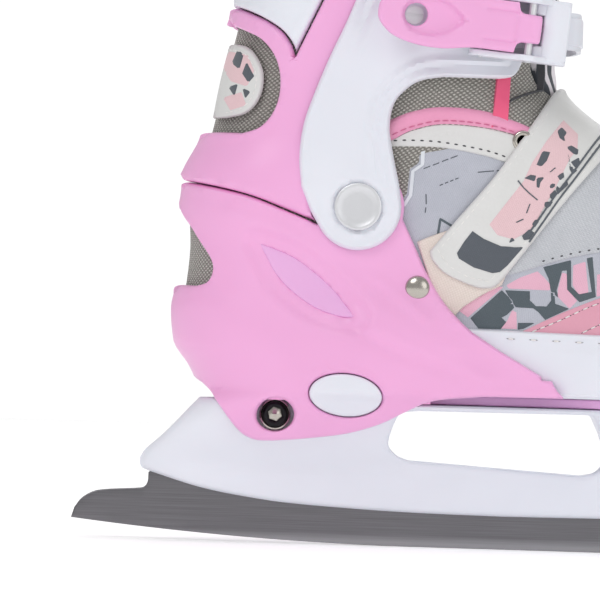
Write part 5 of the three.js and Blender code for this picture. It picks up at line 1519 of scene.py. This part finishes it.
shin_front = TOE_X - 94.6
ladder_path = smooth_through([
    plan_in_buckle(-27, 3), plan_in_buckle(-6, 3), plan_in_buckle(9, 3), plan_in_buckle(13, 2.4),
    (shin_front - 3.6, -38.2), (shin_front - 1.4, -30), (shin_front - 0.4, -16), (shin_front, 0),
    (shin_front - 3.5, 27), (BUCKLE_X + 3, MEDIAL_FACE), (BUCKLE_X - 15, MEDIAL_FACE + 1.6),
    (-12, MEDIAL_FACE + 1.6)], 0.4)
tangent = np.gradient(ladder_path, axis=0)
tangent /= np.linalg.norm(tangent, axis=1)[:, None]
outward = np.column_stack([tangent[:, 1], -tangent[:, 0]])
far = np.concatenate([[0], np.cumsum(np.linalg.norm(np.diff(ladder_path, axis=0), axis=1))])
tooth = 0.7 * ((far / 3.0) % 1.0) * (far > 6) * (far < 0.7 * far[-1])
section = [(-1.0, -7), (-1.0, 7), (0.5, 7), (0.5, 5.2), (0.5, 5.0), (0.5, -5.0), (0.5, -5.2), (0.5, -7)]
toothed = np.array([0, 0, 0, 0, 1, 1, 0, 0])
grid = np.stack([
    np.column_stack([
        ladder_path[:, 0] + outward[:, 0] * (lift + on * tooth),
        ladder_path[:, 1] + outward[:, 1] * (lift + on * tooth),
        np.full(len(far), BUCKLE_Z + height)])
    for (lift, height), on in zip(section, toothed)], 1)
index = np.arange(grid.shape[0] * 8).reshape(-1, 8)
around = np.roll(index, -1, 1)
quads = np.stack([index[:-1], around[:-1], around[1:], index[1:]], -1).reshape(-1, 4)
ladder_faces = quads.tolist() + [index[0, ::-1].tolist(), index[-1].tolist()]
ladder = solid("ladder_strap_toothed", grid.reshape(-1, 3), ladder_faces, white_plastic, creases=20)
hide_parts("ladder_strap")
dressed(ladder, "cuff")

# ---------------------------------------------------------------- carried-over fixings
# Small turned, pressed and moulded parts whose drawn shape is already the real one.
# They keep that shape and get their real finish.
finishes = {
    "rail_screw_lateral": nickel, "rail_screw_medial": nickel, "buckle_screw": brushed, "lever_pin": brushed,
    "lever_spring": nickel, "pawl_pin": brushed, "ladder_screw": nickel, "size_guide": white_plastic,
    "size_rack": white_plastic, "size_latch": white_plastic, "release_pawl": white_plastic}
for name, finish in finishes.items():
    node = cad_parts[name]
    node.data.materials.clear()
    node.data.materials.append(finish)

# ---------------------------------------------------------------- camera, floor and light
# A plain pale round floor, four large soft lamps, and a room that is white behind the skate and softer as a
# light. The camera looks along the boot's side from outside, tipped a little, through a long lens.
HALF_VIEW = 114.0
TILT = np.radians(1.8)
centre = Vector((-58.2 * MM + SHIFT[0], SHIFT[1], 92.4 * MM))
camera_data = bpy.data.cameras.new("camera")
camera_data.sensor_width = 36
DISTANCE = 2.6
camera_data.lens = 18 * DISTANCE / (HALF_VIEW * MM)
camera_data.clip_end = 50
camera = bpy.data.objects.new("camera", camera_data)
right = Vector((np.cos(TILT), 0, np.sin(TILT)))
up = Vector((-np.sin(TILT), 0, np.cos(TILT)))
away = Vector((0, -1, 0))
camera.matrix_world = Matrix((
    (right.x, up.x, away.x, centre.x),
    (right.y, up.y, away.y, centre.y - DISTANCE),
    (right.z, up.z, away.z, centre.z),
    (0, 0, 0, 1)))
bpy.context.scene.collection.objects.link(camera)
bpy.context.scene.camera = camera

floor_material, floor_tree, floor_shader = new_material("matt_white_paper", "#ffffff", 0.9)
paper = add(floor_tree, "TexNoise", {"Vector": object_space(floor_tree, (400, 400, 400)), "Scale": 1.0})
bumped(floor_tree, floor_shader, paper.outputs["Fac"], 0.02, 0.0002)
floor_shader.inputs["Emission Color"].default_value = linear("#ffffff")
floor_shader.inputs["Emission Strength"].default_value = 0.22
turn = np.linspace(0, 2 * np.pi, 72, endpoint=False)
backdrop_mesh = bpy.data.meshes.new("backdrop")
backdrop_mesh.from_pydata(np.column_stack([2.4 * np.cos(turn), 2.4 * np.sin(turn), 0 * turn]).tolist(), [],
    [list(range(72))])
backdrop = bpy.data.objects.new("backdrop", backdrop_mesh)
bpy.context.scene.collection.objects.link(backdrop)
backdrop_mesh.materials.append(floor_material)


def lamp(name, place, aim, size, watts):
    """A round soft lamp, in metres and watts, aimed at a point."""
    data = bpy.data.lights.new(name, "AREA")
    data.shape = "DISK"
    data.size = size
    data.energy = watts
    made = bpy.data.objects.new(name, data)
    made.location = place
    made.rotation_euler = (Vector(aim) - Vector(place)).to_track_quat("-Z", "Y").to_euler()
    bpy.context.scene.collection.objects.link(made)


lamp("key", (-1.2, -2.2, 2.2), (0, 0, 0.12), 1.6, 25)
lamp("fill", (1.9, -2.4, 1.0), (0, 0, 0.12), 2.0, 12)
lamp("top", (0.2, 0.3, 2.6), (0, 0, 0.1), 2.0, 13)
lamp("behind", (0.4, 2.2, 1.4), (0, 0, 0.14), 1.6, 9)
world = bpy.data.worlds.new("soft_room")
world.use_nodes = True
world.node_tree.nodes["Background"].inputs[0].default_value = (1, 1, 1, 1)
lit = add(world.node_tree, "LightPath")
brightness = add(world.node_tree, "Math", {0: lit.outputs["Is Camera Ray"], 1: 0.55, 2: 0.5},
    operation="MULTIPLY_ADD")
world.node_tree.links.new(brightness.outputs[0], world.node_tree.nodes["Background"].inputs[1])
bpy.context.scene.world = world
bpy.context.scene.view_settings.view_transform = "Standard"
bpy.context.scene.view_settings.look = "None"
